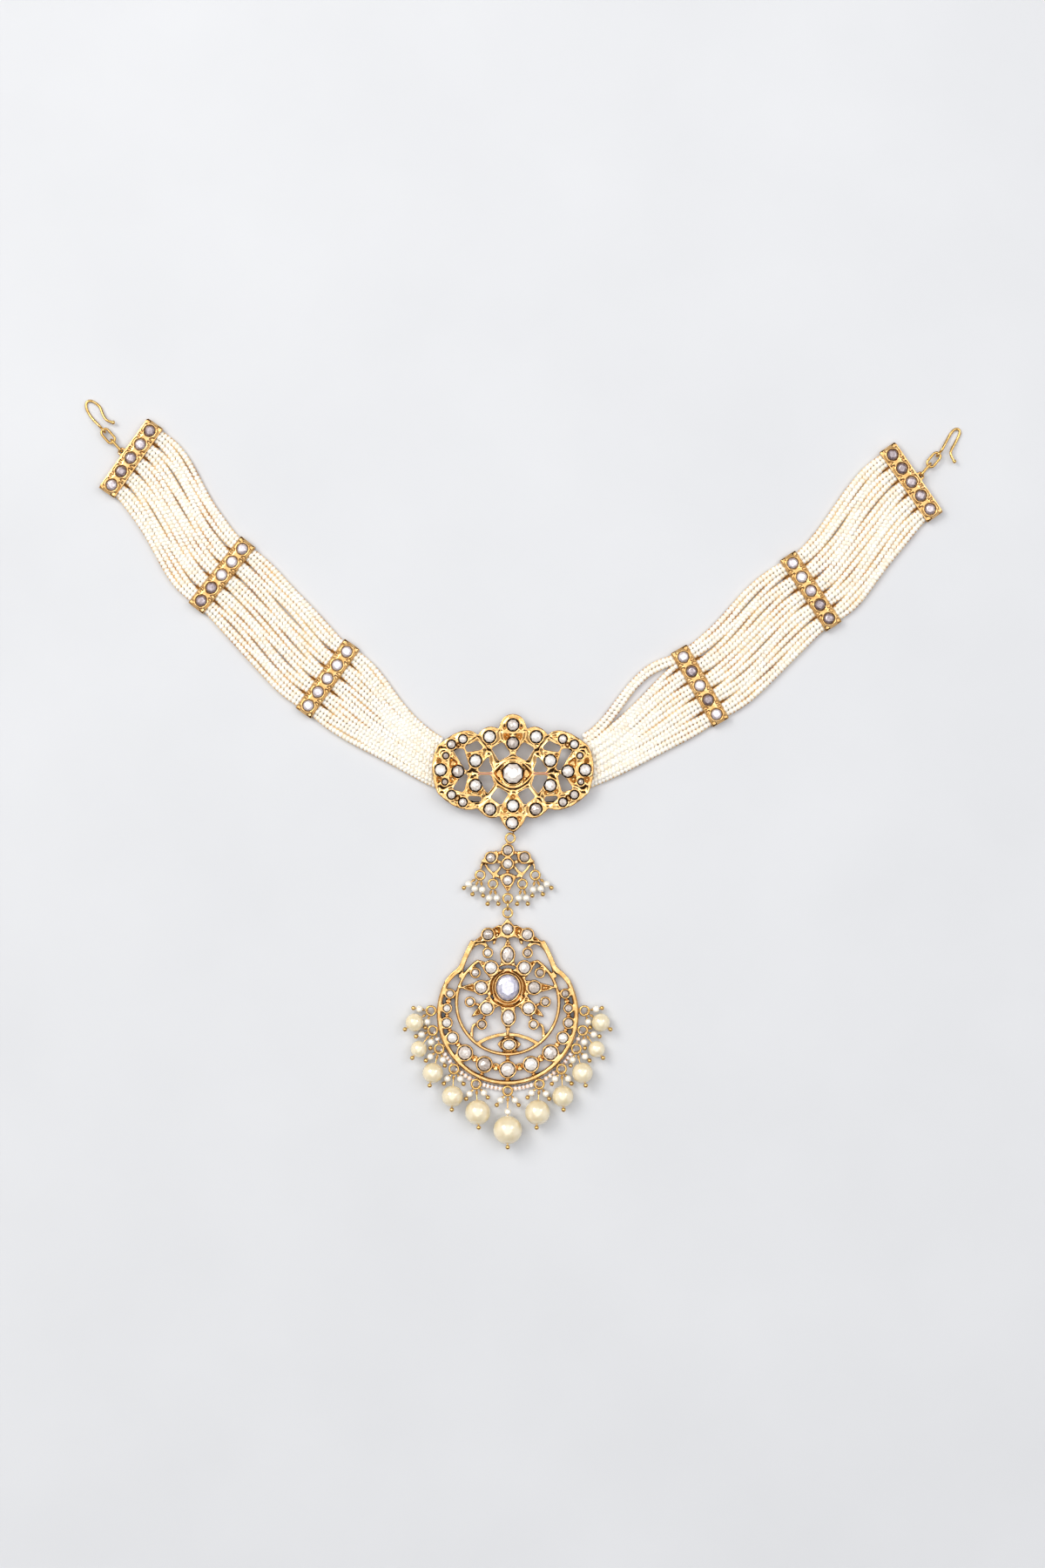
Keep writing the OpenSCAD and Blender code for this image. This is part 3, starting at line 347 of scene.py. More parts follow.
def foiled_stone(tree, low, high, bright):
    # uncut diamond or rock crystal over silver foil: cloudy silver facets under a hard clear polish
    tint = node(tree, "ShaderNodeAttribute", attribute_name="tint").outputs["Fac"]
    cloud = {"Fac": mean(tree, tint, patches(tree, 0.8 * MM, 1.0))}
    stops = [(0.3, low), (0.48, high), (0.64, bright)]
    return {
        "Base Color": node(tree, "ShaderNodeValToRGB", cloud, stops=stops),
        "Metallic": 0.2,
        "Roughness": 0.14,
        "Coat Weight": 1.0,
        "Coat Roughness": 0.02,
        "Coat IOR": 2.0,
    }


def polki(tree, colours):
    # uncut diamond: bright over its foil, with a warm cast
    return foiled_stone(tree, "#C8BBB2", "#F2E9E2", "#FFFCF8")


def smoky_polki(tree, colours):
    # uncut diamond whose foil has darkened
    return foiled_stone(tree, "#7E6A70", "#B9AAB2", "#E8E2E9")


def lilac_crystal(tree, colours):
    # rock crystal: cool and even
    return foiled_stone(tree, "#AFAECB", colours.crystal, "#DAD9EA")


def pearl_coat(tree, crown, flank):
    # shell pearl: opaque cream body under a thin glossy nacre; its flanks are warmer and a little darker
    # than its crown by the way the normal points, partly the nacre's tone and partly painted shade
    up = node(tree, "ShaderNodeTexCoord").outputs["Normal"]
    rise = {"Fac": node(tree, "ShaderNodeSeparateXYZ", {0: up}).outputs["Z"]}
    # partly painted shade: the flanks darker and yellower than the crown, by the normal's upward part
    nacre_and_flank_shade = node(tree, "ShaderNodeValToRGB", rise, stops=[(0.0, flank), (0.85, crown)])
    cloud = {"Fac": patches(tree, 3.0 * MM, 2.0)}
    stops = [(0.3, "#F4F0E8"), (0.7, "#FFFFFF")]
    shade = node(tree, "ShaderNodeValToRGB", cloud, stops=stops)
    both = {"Factor": 1.0, 6: nacre_and_flank_shade, 7: shade}
    return {
        "Base Color": node(tree, "ShaderNodeMix", both, **MULTIPLY).outputs[2],
        "Roughness": 0.3,
        "Coat Weight": 1.0,
        "Coat Roughness": 0.08,
        "Coat IOR": 2.1,
        "Subsurface Weight": 0.3,
        "Subsurface Radius": (1.0, 0.85, 0.6),
        "Subsurface Scale": 1.5 * MM,
    }


def cream_pearl(tree, colours):
    # large drop pearl: deep cream nacre
    return pearl_coat(tree, colours.pearl, "#F4E2B2")


def river_seed(tree, colours):
    # small pearl on a head pin: near white nacre
    return pearl_coat(tree, "#FFFBF2", "#F0E4CE")


def tinted(tree, stops):
    """A colour for each bead, by the tint that its tree gave it."""
    tint = node(tree, "ShaderNodeAttribute", attribute_name="tint").outputs["Fac"]
    return node(tree, "ShaderNodeValToRGB", {"Fac": tint}, stops=stops)


def ivory_seed(tree, colours):
    # small river pearls, drilled and strung: matt ivory, each a little different
    return {
        "Base Color": tinted(tree, [(0.0, "#FCEEDA"), (0.3, colours.seed), (1.0, "#FFFAF0")]),
        "Roughness": 0.38,
        "Coat Weight": 0.3,
        "Coat Roughness": 0.25,
        "Subsurface Weight": 0.35,
        "Subsurface Radius": (1.0, 0.88, 0.7),
        "Subsurface Scale": 0.8 * MM,
    }


def blush_bead(tree, colours):
    # white glass seed beads with a pink cast
    tone = tinted(tree, [(0.0, "#F6E2DA"), (0.5, "#FDF1EC"), (1.0, "#FFFAF8")])
    return {"Base Color": tone, "Roughness": 0.3, "Coat Weight": 0.4, "Coat Roughness": 0.2}


def tan_thread_and_gap_shade(tree, colours):
    # twisted cotton, warm tan, browner in some runs than in others; on the flat cord under each strand the
    # same colour is painted shade in the gaps between the pearls
    twist = {"Fac": mean(tree, patches(tree, 0.3 * MM, 1.0), patches(tree, 7.0 * MM, 1.0))}
    stops = [(0.36, "#A3682A"), (0.46, colours.thread), (0.6, "#F4D49C")]
    tone = node(tree, "ShaderNodeValToRGB", twist, stops=stops)
    return {"Base Color": tone, "Roughness": 0.85}


def brown_gap_shade(tree, colours):
    # painted shade: dark brown for the dark gaps between groups of strands where they go through a bar
    twist = {"Fac": patches(tree, 0.3 * MM, 1.0)}
    stops = [(0.35, "#5A3210"), (0.65, "#A8742E")]
    tone = node(tree, "ShaderNodeValToRGB", twist, stops=stops)
    return {"Base Color": tone, "Roughness": 0.5}


def pale_paper(tree, colours):
    # matt grey-white backdrop paper
    tooth = {"Fac": patches(tree, 60 * MM, 4.0)}
    stops = [(0.3, "#D3D5D9"), (0.7, colours.paper)]
    tone = node(tree, "ShaderNodeValToRGB", tooth, stops=stops)
    return {"Base Color": tone, "Roughness": 0.9}


# Gold


# Least angle of a rim, and least upward part of a normal for a flat top and for a face that sinks
SHARP = math.radians(30)
FLAT_TOP = 0.95
LOOKS_UP = 0.6


def top_edges(whole, spacing):
    """Points along every sharp edge that bounds a face which looks up."""
    found = []
    for edge in whole.edges:
        if len(edge.link_faces) != 2 or edge.calc_face_angle(0) < SHARP:
            continue
        if max(face.normal.z for face in edge.link_faces) < FLAT_TOP:
            continue
        a, b = (v.co for v in edge.verts)
        steps = max(1, math.ceil((a - b).length / spacing))
        found += [a.lerp(b, i / steps) for i in range(steps)]
    return found


def lift_inside(sheet, foot, widen):
    """Lifts what lies inside the outer wall, with the core that it stands on, to the foot and widens it."""
    sector = math.radians(2)
    wall = 0.9 * MM
    reach = {}
    for v in sheet.verts:
        key = round(math.atan2(v.co.y, v.co.x) / sector)
        reach[key] = max(reach.get(key, 0.0), v.co.xy.length)
    for v in sheet.verts:
        key = round(math.atan2(v.co.y, v.co.x) / sector)
        if v.co.xy.length < reach[key] - wall:
            v.co.xy -= v.normal.xy * widen
            v.co.z = max(v.co.z, foot)


def fill_cells(sheet, around, axis, out, level):
    """Lifts what lies inside a bar's walls and above its bores to the level, which leaves shallow trays."""
    spots = [((v.co.xy - around).dot(axis), (v.co.xy - around).dot(out)) for v in sheet.verts]
    wall = 0.5 * MM
    above_bores = 1.45 * MM
    length, width = (max(abs(spot[i]) for spot in spots) - wall for i in (0, 1))
    for v, (along, across) in zip(sheet.verts, spots):
        if abs(along) < length and abs(across) < width and above_bores < v.co.z < level:
            v.co.z = level


def worked_gold(name, plain, metal, sink, foot=0.0, bar=None):
    """A plain node as hand worked sheet: each face that looks up sinks between raised, rounded rims."""
    whole = welded(plain)
    whole.normal_update()
    edges = top_edges(whole, spacing=0.15 * MM)
    tree = kdtree.KDTree(len(edges))
    for i, point in enumerate(edges):
        tree.insert(point, i)
    tree.balance()
    made = as_object(name, whole)
    made.data.materials.append(material(polished_gold))
    remesh = made.modifiers.new("sheet", "REMESH")
    remesh.mode = "VOXEL"
    remesh.voxel_size = metal.grain
    settled(made)
    sheet = bmesh.new()
    sheet.from_mesh(made.data)
    for v in sheet.verts:
        if v.normal.z > LOOKS_UP:
            away = tree.find(v.co)[2]
            ridge = math.exp(-((away / metal.rim) ** 2))
            v.co.z += metal.rim_rise * ridge - sink * (1 - math.exp(-((away / metal.slope) ** 2)))
    if foot:
        lift_inside(sheet, foot, metal.widen)
    if bar:
        fill_cells(sheet, *bar[:3], metal.tray)
    axes = {f"use_axis_{axis}": True for axis in "xyz"}
    for _ in range(2):
        bmesh.ops.smooth_vert(sheet, verts=sheet.verts, factor=0.5, **axes)
    sheet.to_mesh(made.data)
    sheet.free()
    made.data.shade_smooth()
    handed(made, "gold", plain)


class PATTI_OT_gold(bpy.types.Operator):
    """Plaque, fan, pendant and spacer bars in worked gold."""

    bl_idname = "patti.gold"
    bl_label = "Gold work"

    def execute(self, context):
        metal = context.scene.patti_metal
        worked_gold("plaque_gold", "plaque", metal, metal.sink, metal.foot)
        for name in ("fan", "pendant"):
            worked_gold(f"{name}_gold", name, metal, metal.sink)
        for side in SIDES:
            for i, bar in enumerate(bar_frames(side), 1):
                worked_gold(f"bar_gold_{side}_{i}", f"bar_{side}_{i}", metal, metal.bar_sink, bar=bar)
        return {"FINISHED"}


# Wire


def ring_middles():
    """Middles of the jump rings that carry pins."""
    return [middle(c) for name in ("fringe_rings", "fan_rings") for c in corners(name)]


def pin_ways():
    """For every head pin: where its shank leaves the eye, and which way it runs."""
    rings = ring_middles()
    found = []
    for name in PINS:
        for points in corners(name):
            ring = min(rings, key=lambda r: min((r - p).length for p in points))
            tip = max(points, key=lambda p: (p - ring).length)
            found.append((ring, (tip - ring).normalized()))
    return found


def thin_way(points):
    """The axis along which the points spread least."""
    spread = [max(p[i] for p in points) - min(p[i] for p in points) for i in range(3)]
    return Vector([1.0 if i == spread.index(min(spread)) else 0.0 for i in range(3)])


FINISH = ("Finish", "Material", None)


def finished(tree, instances, finish):
    """Ends a tree: its instances made real, in their material."""
    real = node(tree, "GeometryNodeRealizeInstances", {"Geometry": instances})
    done = node(tree, "GeometryNodeSetMaterial", {"Geometry": real, "Material": finish})
    node(tree, "NodeGroupOutput", {"Geometry": done})
    return tree


def bent_wire(tree, given, path, sides, caps):
    """Ends a tree of bent wire: the path swept at the wire's thickness, square to each point's way."""
    half = node(tree, "ShaderNodeMath", {0: given["Wire"], 1: 0.5}, operation="MULTIPLY")
    section = node(tree, "GeometryNodeCurvePrimitiveCircle", {"Resolution": sides, "Radius": half})
    tube = node(
        tree, "GeometryNodeCurveToMesh", {"Curve": path, "Profile Curve": section, "Fill Caps": caps}
    )
    way = node(tree, "GeometryNodeInputNamedAttribute", {"Name": "way"}, data_type="FLOAT_VECTOR")
    turn = node(tree, "FunctionNodeAlignRotationToVector", {"Vector": way}, axis="Z")
    spots = {"Points": given["Geometry"], "Instance": tube, "Rotation": turn}
    placed = node(tree, "GeometryNodeInstanceOnPoints", spots)
    return finished(tree, placed, given["Finish"])


def ring_tree():
    """A jump ring at each point."""
    sizes = [("Wire", "Float", 0.5 * MM), ("Radius", "Float", 1.3 * MM), FINISH]
    tree, given = new_tree("jump_rings", sizes)
    path = node(tree, "GeometryNodeCurvePrimitiveCircle", {"Resolution": 28, "Radius": given["Radius"]})
    return bent_wire(tree, given, path, sides=10, caps=False)


def wrap_tree():
    """A coil of wire at each point."""
    sizes = [
        ("Wire", "Float", 0.24 * MM),
        ("Coil radius", "Float", 0.3 * MM),
        ("Coil length", "Float", 0.8 * MM),
        ("Turns", "Float", 3.0),
        FINISH,
    ]
    tree, given = new_tree("wire_wraps", sizes)
    winding = {
        "Resolution": 10,
        "Rotations": given["Turns"],
        "Start Radius": given["Coil radius"],
        "End Radius": given["Coil radius"],
        "Height": given["Coil length"],
    }
    coil = node(tree, "GeometryNodeCurveSpiral", winding)
    return bent_wire(tree, given, coil, sides=6, caps=True)


def dressed(name, finish):
    """A CAD node that keeps its own shape, with a better finish."""
    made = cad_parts[name]
    made.data.materials.clear()
    made.data.materials.append(finish)


def points_mesh(name, points, **vectors):
    """Loose points with named vectors on them."""
    data = bpy.data.meshes.new(name)
    data.from_pydata(points, [], [])
    for key, rows in vectors.items():
        layer = data.attributes.new(key, "FLOAT_VECTOR", "POINT")
        for item, value in zip(layer.data, rows):
            item.vector = value
    return data


def binding_wires(wire_d):
    """The two copper wires laid along the plaque's middle bars."""
    out, height, length = 8 * MM, 4.0 * MM, 4.2 * MM
    wires = bmesh.new()
    for side in SIDES.values():
        lying = Matrix.Translation((side * out, 0, height)) @ Matrix.Rotation(math.pi / 2, 4, "Y")
        sizes = {"segments": 12, "radius1": wire_d / 2, "radius2": wire_d / 2, "depth": length}
        bmesh.ops.create_cone(wires, cap_ends=True, matrix=lying, **sizes)
    made = as_object("plaque_wires", wires)
    made.data.materials.append(material(copper_wire))
    settled(made, 60)
    handed(made, "wire_gold")


class PATTI_OT_wire(bpy.types.Operator):
    """Jump rings, head pins with their wraps, chain links, hooks and binding wires."""

    bl_idname = "patti.wire"
    bl_label = "Wire work"

    def execute(self, context):
        metal = context.scene.patti_metal
        finish = material(drawn_gold_wire)
        links = [f"link_{side}_{i}" for side in SIDES for i in (1, 2)]
        for name in PINS + links:
            dressed(name, finish)
        half_wire = 0.22 * MM
        tree = ring_tree()
        for name in ("fringe_rings", "fan_rings", "fan_link", "pendant_links"):
            solids = corners(name)
            spots = [middle(points) for points in solids]
            data = points_mesh(name, spots, way=[thin_way(points) for points in solids])
            radius = max((p - spots[0]).length for p in solids[0]) - half_wire
            values = {"Wire": metal.ring_wire, "Radius": radius, "Finish": finish}
            grown(f"{name}_gold", data, tree, values, "wire_gold", name, smooth=60)
        for side in SIDES:
            hook = as_object(f"hook_gold_{side}", welded(f"hook_{side}"))
            hook.data.materials.append(finish)
            rounding = hook.modifiers.new("round", "SUBSURF")
            rounding.levels = 1
            rounding.render_levels = 1
            settled(hook, 60)
            handed(hook, "wire_gold", f"hook_{side}")
        binding_wires(metal.binding_d)
        ways = pin_ways()
        if len(ways) < len(DROPS):
            raise RuntimeError("too few head pins were found")
        past_ring = 2.05 * MM
        spots = [ring + way * past_ring for ring, way in ways]
        data = points_mesh("wraps", spots, way=[way for ring, way in ways])
        values = {"Wire": metal.wrap_wire, "Finish": finish}
        grown("pin_wraps", data, wrap_tree(), values, "wire_gold", smooth=60)
        return {"FINISHED"}


# Stones


def cut_stone(name, table, rose=False, n=8, waist=0.93):
    """A stone of radius and height 1 on the floor: girdle, crown facets, and a flat or low pointed top."""
    # radius, height and share of a side's turn, corner by corner
    rings = [
        [(0.92, 0.0, 0.0)] * n,
        [(1.0, 0.34, 0.0)] * n,
        [((0.8 if i % 2 else 0.84), (0.74 if i % 2 else 0.66), 0.5) for i in range(n)],
        [((table if i % 2 else table * waist), (0.98 if i % 2 else 0.94), 0.0) for i in range(n)],
    ]
    made = bmesh.new()
    rows = []
    for ring in rings:
        row = []
        for i, (r, z, shift) in enumerate(ring):
            a = (i + shift) * 2 * math.pi / n
            row.append(made.verts.new((r * math.cos(a), r * math.sin(a), z)))
        rows.append(row)
    for lower, upper in zip(rows, rows[1:]):
        for i in range(n):
            j = (i + 1) % n
            made.faces.new((lower[i], lower[j], upper[i]))
            made.faces.new((lower[j], upper[j], upper[i]))
    if rose:
        peak = made.verts.new((0.06, -0.04, 1.12))
        for i in range(n):
            made.faces.new((rows[-1][i], rows[-1][(i + 1) % n], peak))
    else:
        made.faces.new(rows[-1])
    made.faces.new(list(reversed(rows[0])))
    bmesh.ops.recalc_face_normals(made, faces=made.faces)
    return as_object(name, made)


def tinted_instances(tree, instances, seed):
    """Gives each instance a tint of its own between 0 and 1."""
    tint = node(tree, "FunctionNodeRandomValue", {"Seed": seed}, data_type="FLOAT").outputs[1]
    mark = {"Geometry": instances, "Name": "tint", "Value": tint}
    return node(tree, "GeometryNodeStoreNamedAttribute", mark, data_type="FLOAT", domain="INSTANCE")


def stone_tree():
    """A cut stone at each point, sized and turned by the point's values, with its own tint."""
    tree, given = new_tree("set_stones", [("Stone", "Object", None), FINISH, ("Seed", "Int", 3)])
    shape = node(tree, "GeometryNodeObjectInfo", {"Object": given["Stone"]}).outputs["Geometry"]
    size, turn = (
        node(tree, "GeometryNodeInputNamedAttribute", {"Name": name}, data_type="FLOAT_VECTOR")
        for name in ("size", "turn")
    )
    turn = node(tree, "FunctionNodeEulerToRotation", {"Euler": turn})
    spots = {"Points": given["Geometry"], "Instance": shape, "Rotation": turn, "Scale": size}
    placed = node(tree, "GeometryNodeInstanceOnPoints", spots)
    return finished(tree, tinted_instances(tree, placed, given["Seed"]), given["Finish"])


class PATTI_OT_stones(bpy.types.Operator):
    """The foiled stones, each where the CAD has its plain one."""

    bl_idname = "patti.stones"
    bl_label = "Stones"

    def execute(self, context):
        tree = stone_tree()
        rose = cut_stone("rose_cut", table=0.5, rose=True)
        flat = cut_stone("table_cut", table=0.62)
        long = cut_stone("long_table_cut", table=0.58, n=12, waist=math.cos(math.radians(30)))
        sets = {
            "plaque_stones": (rose, polki, "stone"),
            "fan_stones": (rose, polki, "stone"),
            "pendant_stones": (rose, polki, "stone"),
            "bar_stones_left": (flat, smoky_polki, "stone"),
            "bar_stones_right": (flat, smoky_polki, "stone"),
            "plaque_centre_stone": (rose, polki, "centre_stone"),
            "pendant_centre_stone": (long, lilac_crystal, "centre_stone"),
        }
        over_size = 0.1 * MM
        tip = math.radians(3)
        for seed, (name, (shape, finish, slot)) in enumerate(sets.items()):
            pick = random.Random(seed)
            stones = []
            for points in corners(name):
                low, high = (Vector([edge(p[i] for p in points) for i in range(3)]) for edge in (min, max))
                centre = (low + high) / 2
                reach = max((p.xy - centre.xy).length for p in points)
                wide, tall, height = high - low
                stretched = max(wide, tall) > 1.1 * min(wide, tall)
                wide, tall = (wide / 2, tall / 2) if stretched else (reach, reach)
                spin = 0 if stretched else pick.uniform(0, math.pi)
                turn = (pick.uniform(-tip, tip), pick.uniform(-tip, tip), spin)
                size = (wide + over_size, tall + over_size, height)
                stones.append(((centre.x, centre.y, low.z), size, turn))
            if not stones:
                raise RuntimeError(f"{name} has no stones")
            places, sizes, turns = zip(*stones)
            data = points_mesh(name, places, size=sizes, turn=turns)
            values = {"Stone": shape, "Finish": material(finish), "Seed": seed}
            grown(f"{name}_cut", data, tree, values, slot, name)
        for shape in (rose, flat, long):
            bpy.data.objects.remove(shape)
        return {"FINISHED"}


# Strands


def swept(tree, curve, profile, finish):
    """A capped tube along the curve, in its material."""
    path = {"Curve": curve, "Profile Curve": profile, "Fill Caps": True}
    tube = {"Geometry": node(tree, "GeometryNodeCurveToMesh", path), "Material": finish}
    return node(tree, "GeometryNodeSetMaterial", tube)


def bead_tree():
    """Beads threaded close together along every curve, on a thread and over a flat cord of painted shade
    that fills the gaps between the beads.
    """
    sizes = [
        ("Bead", "Float", 1.4 * MM),
        ("Pitch", "Float", 1.08 * MM),
        ("Thread", "Float", 0.4 * MM),
        ("Shade cord width", "Float", 1.5 * MM),
        ("Shade cord height", "Float", 0.3 * MM),
        ("Stray", "Float", 0.05 * MM),
        ("Seed", "Int", 1),
        ("Pearl", "Material", None),
        ("Cotton and gap shade", "Material", None),
    ]
    tree, given = new_tree("threaded_beads", sizes)
    curve = node(tree, "GeometryNodeMeshToCurve", {"Mesh": given["Geometry"]})
    even = {"Curve": curve, "Length": given["Pitch"]}
    spaced = node(tree, "GeometryNodeResampleCurve", even, mode="LENGTH")

    radius = node(tree, "ShaderNodeMath", {0: given["Bead"], 1: 0.5}, operation="MULTIPLY")
    ball = node(tree, "GeometryNodeMeshIcoSphere", {"Radius": radius, "Subdivisions": 2})
    ball = node(tree, "GeometryNodeSetShadeSmooth", {"Geometry": ball})
    along = node(tree, "GeometryNodeInputTangent")
    turn = node(tree, "FunctionNodeAlignRotationToVector", {"Vector": along}, axis="Z")
    span = {0: (0.95, 0.95, 0.78), 1: (1.04, 1.04, 0.9), "Seed": given["Seed"]}
    size = node(tree, "FunctionNodeRandomValue", span, data_type="FLOAT_VECTOR")
    span = {0: (-1.0, -1.0, -1.0), 1: (1.0, 1.0, 1.0), "Seed": given["Seed"]}
    way = node(tree, "FunctionNodeRandomValue", span, data_type="FLOAT_VECTOR")
    stray = node(tree, "ShaderNodeVectorMath", {0: way, "Scale": given["Stray"]}, operation="SCALE")
    moved = node(tree, "GeometryNodeSetPosition", {"Geometry": spaced, "Offset": stray})
    spots = {"Points": moved, "Instance": ball, "Rotation": turn, "Scale": size}
    placed = node(tree, "GeometryNodeInstanceOnPoints", spots)
    marked = tinted_instances(tree, placed, given["Seed"])
    beads = node(tree, "GeometryNodeRealizeInstances", {"Geometry": marked})
    pearls = {"Geometry": beads, "Material": given["Pearl"]}
    beads = node(tree, "GeometryNodeSetMaterial", pearls)

    thin = node(tree, "ShaderNodeMath", {0: given["Thread"], 1: 0.5}, operation="MULTIPLY")
    section = node(tree, "GeometryNodeCurvePrimitiveCircle", {"Resolution": 5, "Radius": thin})
    thread = swept(tree, spaced, section, given["Cotton and gap shade"])

    # the flat cord: painted shade, a tan band low under the beads so that their gaps show warm and dark
    spot = node(tree, "GeometryNodeInputPosition")
    spot = node(tree, "ShaderNodeSeparateXYZ", {0: spot}).outputs
    below = {"X": spot["X"], "Y": spot["Y"], "Z": given["Shade cord height"]}
    under = node(tree, "ShaderNodeCombineXYZ", below)
    low = node(tree, "GeometryNodeSetPosition", {"Geometry": spaced, "Position": under})
    low = node(tree, "GeometryNodeSetCurveNormal", {"Curve": low}, mode="Z_UP")
    band = {"Width": given["Shade cord width"], "Height": given["Shade cord height"]}
    flat = node(tree, "GeometryNodeCurvePrimitiveQuadrilateral", band)
    shade_cord = swept(tree, low, flat, given["Cotton and gap shade"])

    join = node(tree, "GeometryNodeJoinGeometry")
    for part in (beads, thread, shade_cord):
        tree.links.new(part.outputs[0], join.inputs[0])
    node(tree, "NodeGroupOutput", {"Geometry": join})
    return tree


def lines_mesh(name, lines):
    """Open lines of points as one mesh of edges."""
    data = bpy.data.meshes.new(name)
    points = []
    edges = []
    for line in lines:
        edges += [(len(points) + i, len(points) + i + 1) for i in range(len(line) - 1)]
        points += line
    data.from_pydata(points, edges, [])
    return data


def bar_frames(side):
    """Each bar of a side: its middle, its long axis, its way outward and the pitch of its stones."""
    stones = [middle(points) for points in corners(f"bar_stones_{side}")]
    found = []
    for i in range(1, BARS + 1):
        low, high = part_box(f"bar_{side}_{i}")
        around = (Vector(low) + Vector(high)) / 2
        row = sorted(stones, key=lambda s: (s.xy - around.xy).length)[:GROUPS]
        row.sort(key=lambda s: s.y)
        axis = (row[-1] - row[0]).xy
        pitch = axis.length / (GROUPS - 1)
        axis.normalize()
        out = Vector((axis.y, -axis.x)) * SIDES[side]
        found.append(((row[0].xy + row[-1].xy) / 2, axis, out, pitch))
    return found


def hermite(a, b, ta, tb, t):
    """A point on the curve from a to b that leaves along ta and arrives along tb."""
    return (
        a * (2 * t**3 - 3 * t**2 + 1)
        + ta * (t**3 - 2 * t**2 + t)
        + b * (3 * t**2 - 2 * t**3)
        + tb * (t**3 - t**2)
    )


# Ends of the row where the strands leave the plaque, as shares of its half width and half length
PLAQUE_ENDS = ((0.93, -0.24), (0.89, 0.6))
# Rise of the strands where they leave the plaque, for a run of one
LEAN = 0.42
# How strongly a strand keeps to its way at the ends of a section, for its chord
PULL_AT_PLAQUE = 0.75
PULL_AT_BARS = 0.95
# How far a strand's end reaches into a bar, and what lies between a strand and the ground
TUCK = 0.8 * MM
CLEAR = 0.03 * MM
# How far the middle strand of a group rises at a bar, and every other strand at the plaque
GROUP_RISE = 0.7 * MM
PLAQUE_RISE = 1.0 * MM
# Share of a section's run in which that rise at the plaque ends
PLAQUE_RUN = 1 / 2.2
# Spacing of the loose strands at the plaque
LOOSE_STEP = 0.55 * MM
# Greatest lift of a strand in mid section
MOST_LIFT = 0.28 * MM
# Radians along a section of a strand's own wave and of the one that all share, and the latter's part
OWN_WAVE = 7.5
SHARED_WAVE = 5
SHARED_PART = 0.6
LINE_STEPS = 28
FULL_TURN = 6.28


def strand_lines(side, section, band, pick):
    """The fifteen strands of one section, from the plaque or a bar to the next bar."""
    bars = bar_frames(side)
    middle_b, axis_b, out_b, pitch = bars[section - 1]
    inset = band.bar_w / 2 - TUCK
    pull = PULL_AT_BARS if section > 1 else PULL_AT_PLAQUE
    low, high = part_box("plaque")
    half_w = (high[0] - low[0]) / 2
    half_l = high[1]
    foot, top = (Vector((x * half_w * SIDES[side], y * half_l)) for x, y in PLAQUE_ENDS)
    phase = pick.uniform(0, FULL_TURN)
    lines = []
    for k in range(STRANDS):
        shift = (k - (STRANDS - 1) / 2) * pitch / GROUP
        spread = (k - (STRANDS - 1) / 2) / ((STRANDS - 1) / 2)
        draw = (k % GROUP - 1) * (band.strand_pitch - pitch / GROUP)
        end = middle_b + axis_b * shift - out_b * inset
        if section == 1:
            start = foot.lerp(top, (k + 0.5) / STRANDS)
            leave = Vector((SIDES[side], LEAN)).normalized()
        else:
            middle_a, axis_a, out_a, _ = bars[section - 2]
            start = middle_a + axis_a * shift + out_a * inset
            leave = out_a
        loose = section == 1 and side == "right" and k >= STRANDS - LOOSE
        if loose:
            start += Vector((0, (k + 1 - STRANDS + LOOSE) * LOOSE_STEP))
        chord = (end - start).length
        across = Vector((-(end - start).y, (end - start).x)).normalized() * SIDES[side]
        own = pick.uniform(0, FULL_TURN)
        lift = pick.uniform(0.0, MOST_LIFT)
        sway = pick.uniform(0.4, 1.0) * band.waver
        line = []
        for s in range(LINE_STEPS + 1):
            t = s / LINE_STEPS
            p = hermite(start, end, leave * chord * pull, out_b * chord * pull, t)
            bell = math.sin(math.pi * t)
            near = math.exp(-(((1 - t) * chord / band.gather) ** 2))
            p = p + axis_b * draw * near
            stray = sway * math.sin(own + OWN_WAVE * t)
            stray += SHARED_PART * band.waver * math.sin(phase + SHARED_WAVE * t + spread)
            if section > 1:
                first = math.exp(-((t * chord / band.gather) ** 2))
                p = p + axis_a * draw * first
                near += first
                stray += band.belly * spread
            p = p + across * bell * stray
            z = band.bead_d / 2 + CLEAR + lift * bell
            z += (k % GROUP == 1) * near * GROUP_RISE
            if loose:
                # the bow is widest a little past the middle
                p = p + across * band.loose_bow * math.sin(math.pi * t**1.3) ** 1.5
            elif section == 1:
                z += (k % 2) * PLAQUE_RISE * max(0.0, 1 - t / PLAQUE_RUN)
            line.append((p.x, p.y, z))
        lines.append(line)
    return lines


def shade_wedge(whole, foot, half, reach):
    """A dark wedge of painted shade that tapers from its foot at a bar to a tip between two groups of
    strands.
    """
    # place along the reach, share of the half width, height in millimetres
    sections = [(0.0, 1.0, 1.5), (0.35, 0.72, 1.35), (0.7, 0.35, 1.1), (1.0, 0.06, 0.8)]
    rows = []
    for along, width, height in sections:
        row = []
        for a in (0, 45, 90, 135, 180):
            p = foot + reach * along + half * width * math.cos(math.radians(a))
            row.append(whole.verts.new((p.x, p.y, (0.02 + height * math.sin(math.radians(a))) * MM)))
        rows.append(row)
    faces = [rows[0], list(reversed(rows[-1]))]
    for lower, upper in zip(rows, rows[1:]):
        for i in range(len(lower)):
            j = (i + 1) % len(lower)
            faces.append([lower[j], lower[i], upper[i], upper[j]])
    made = [whole.faces.new(face) for face in faces]
    bmesh.ops.recalc_face_normals(whole, faces=made)


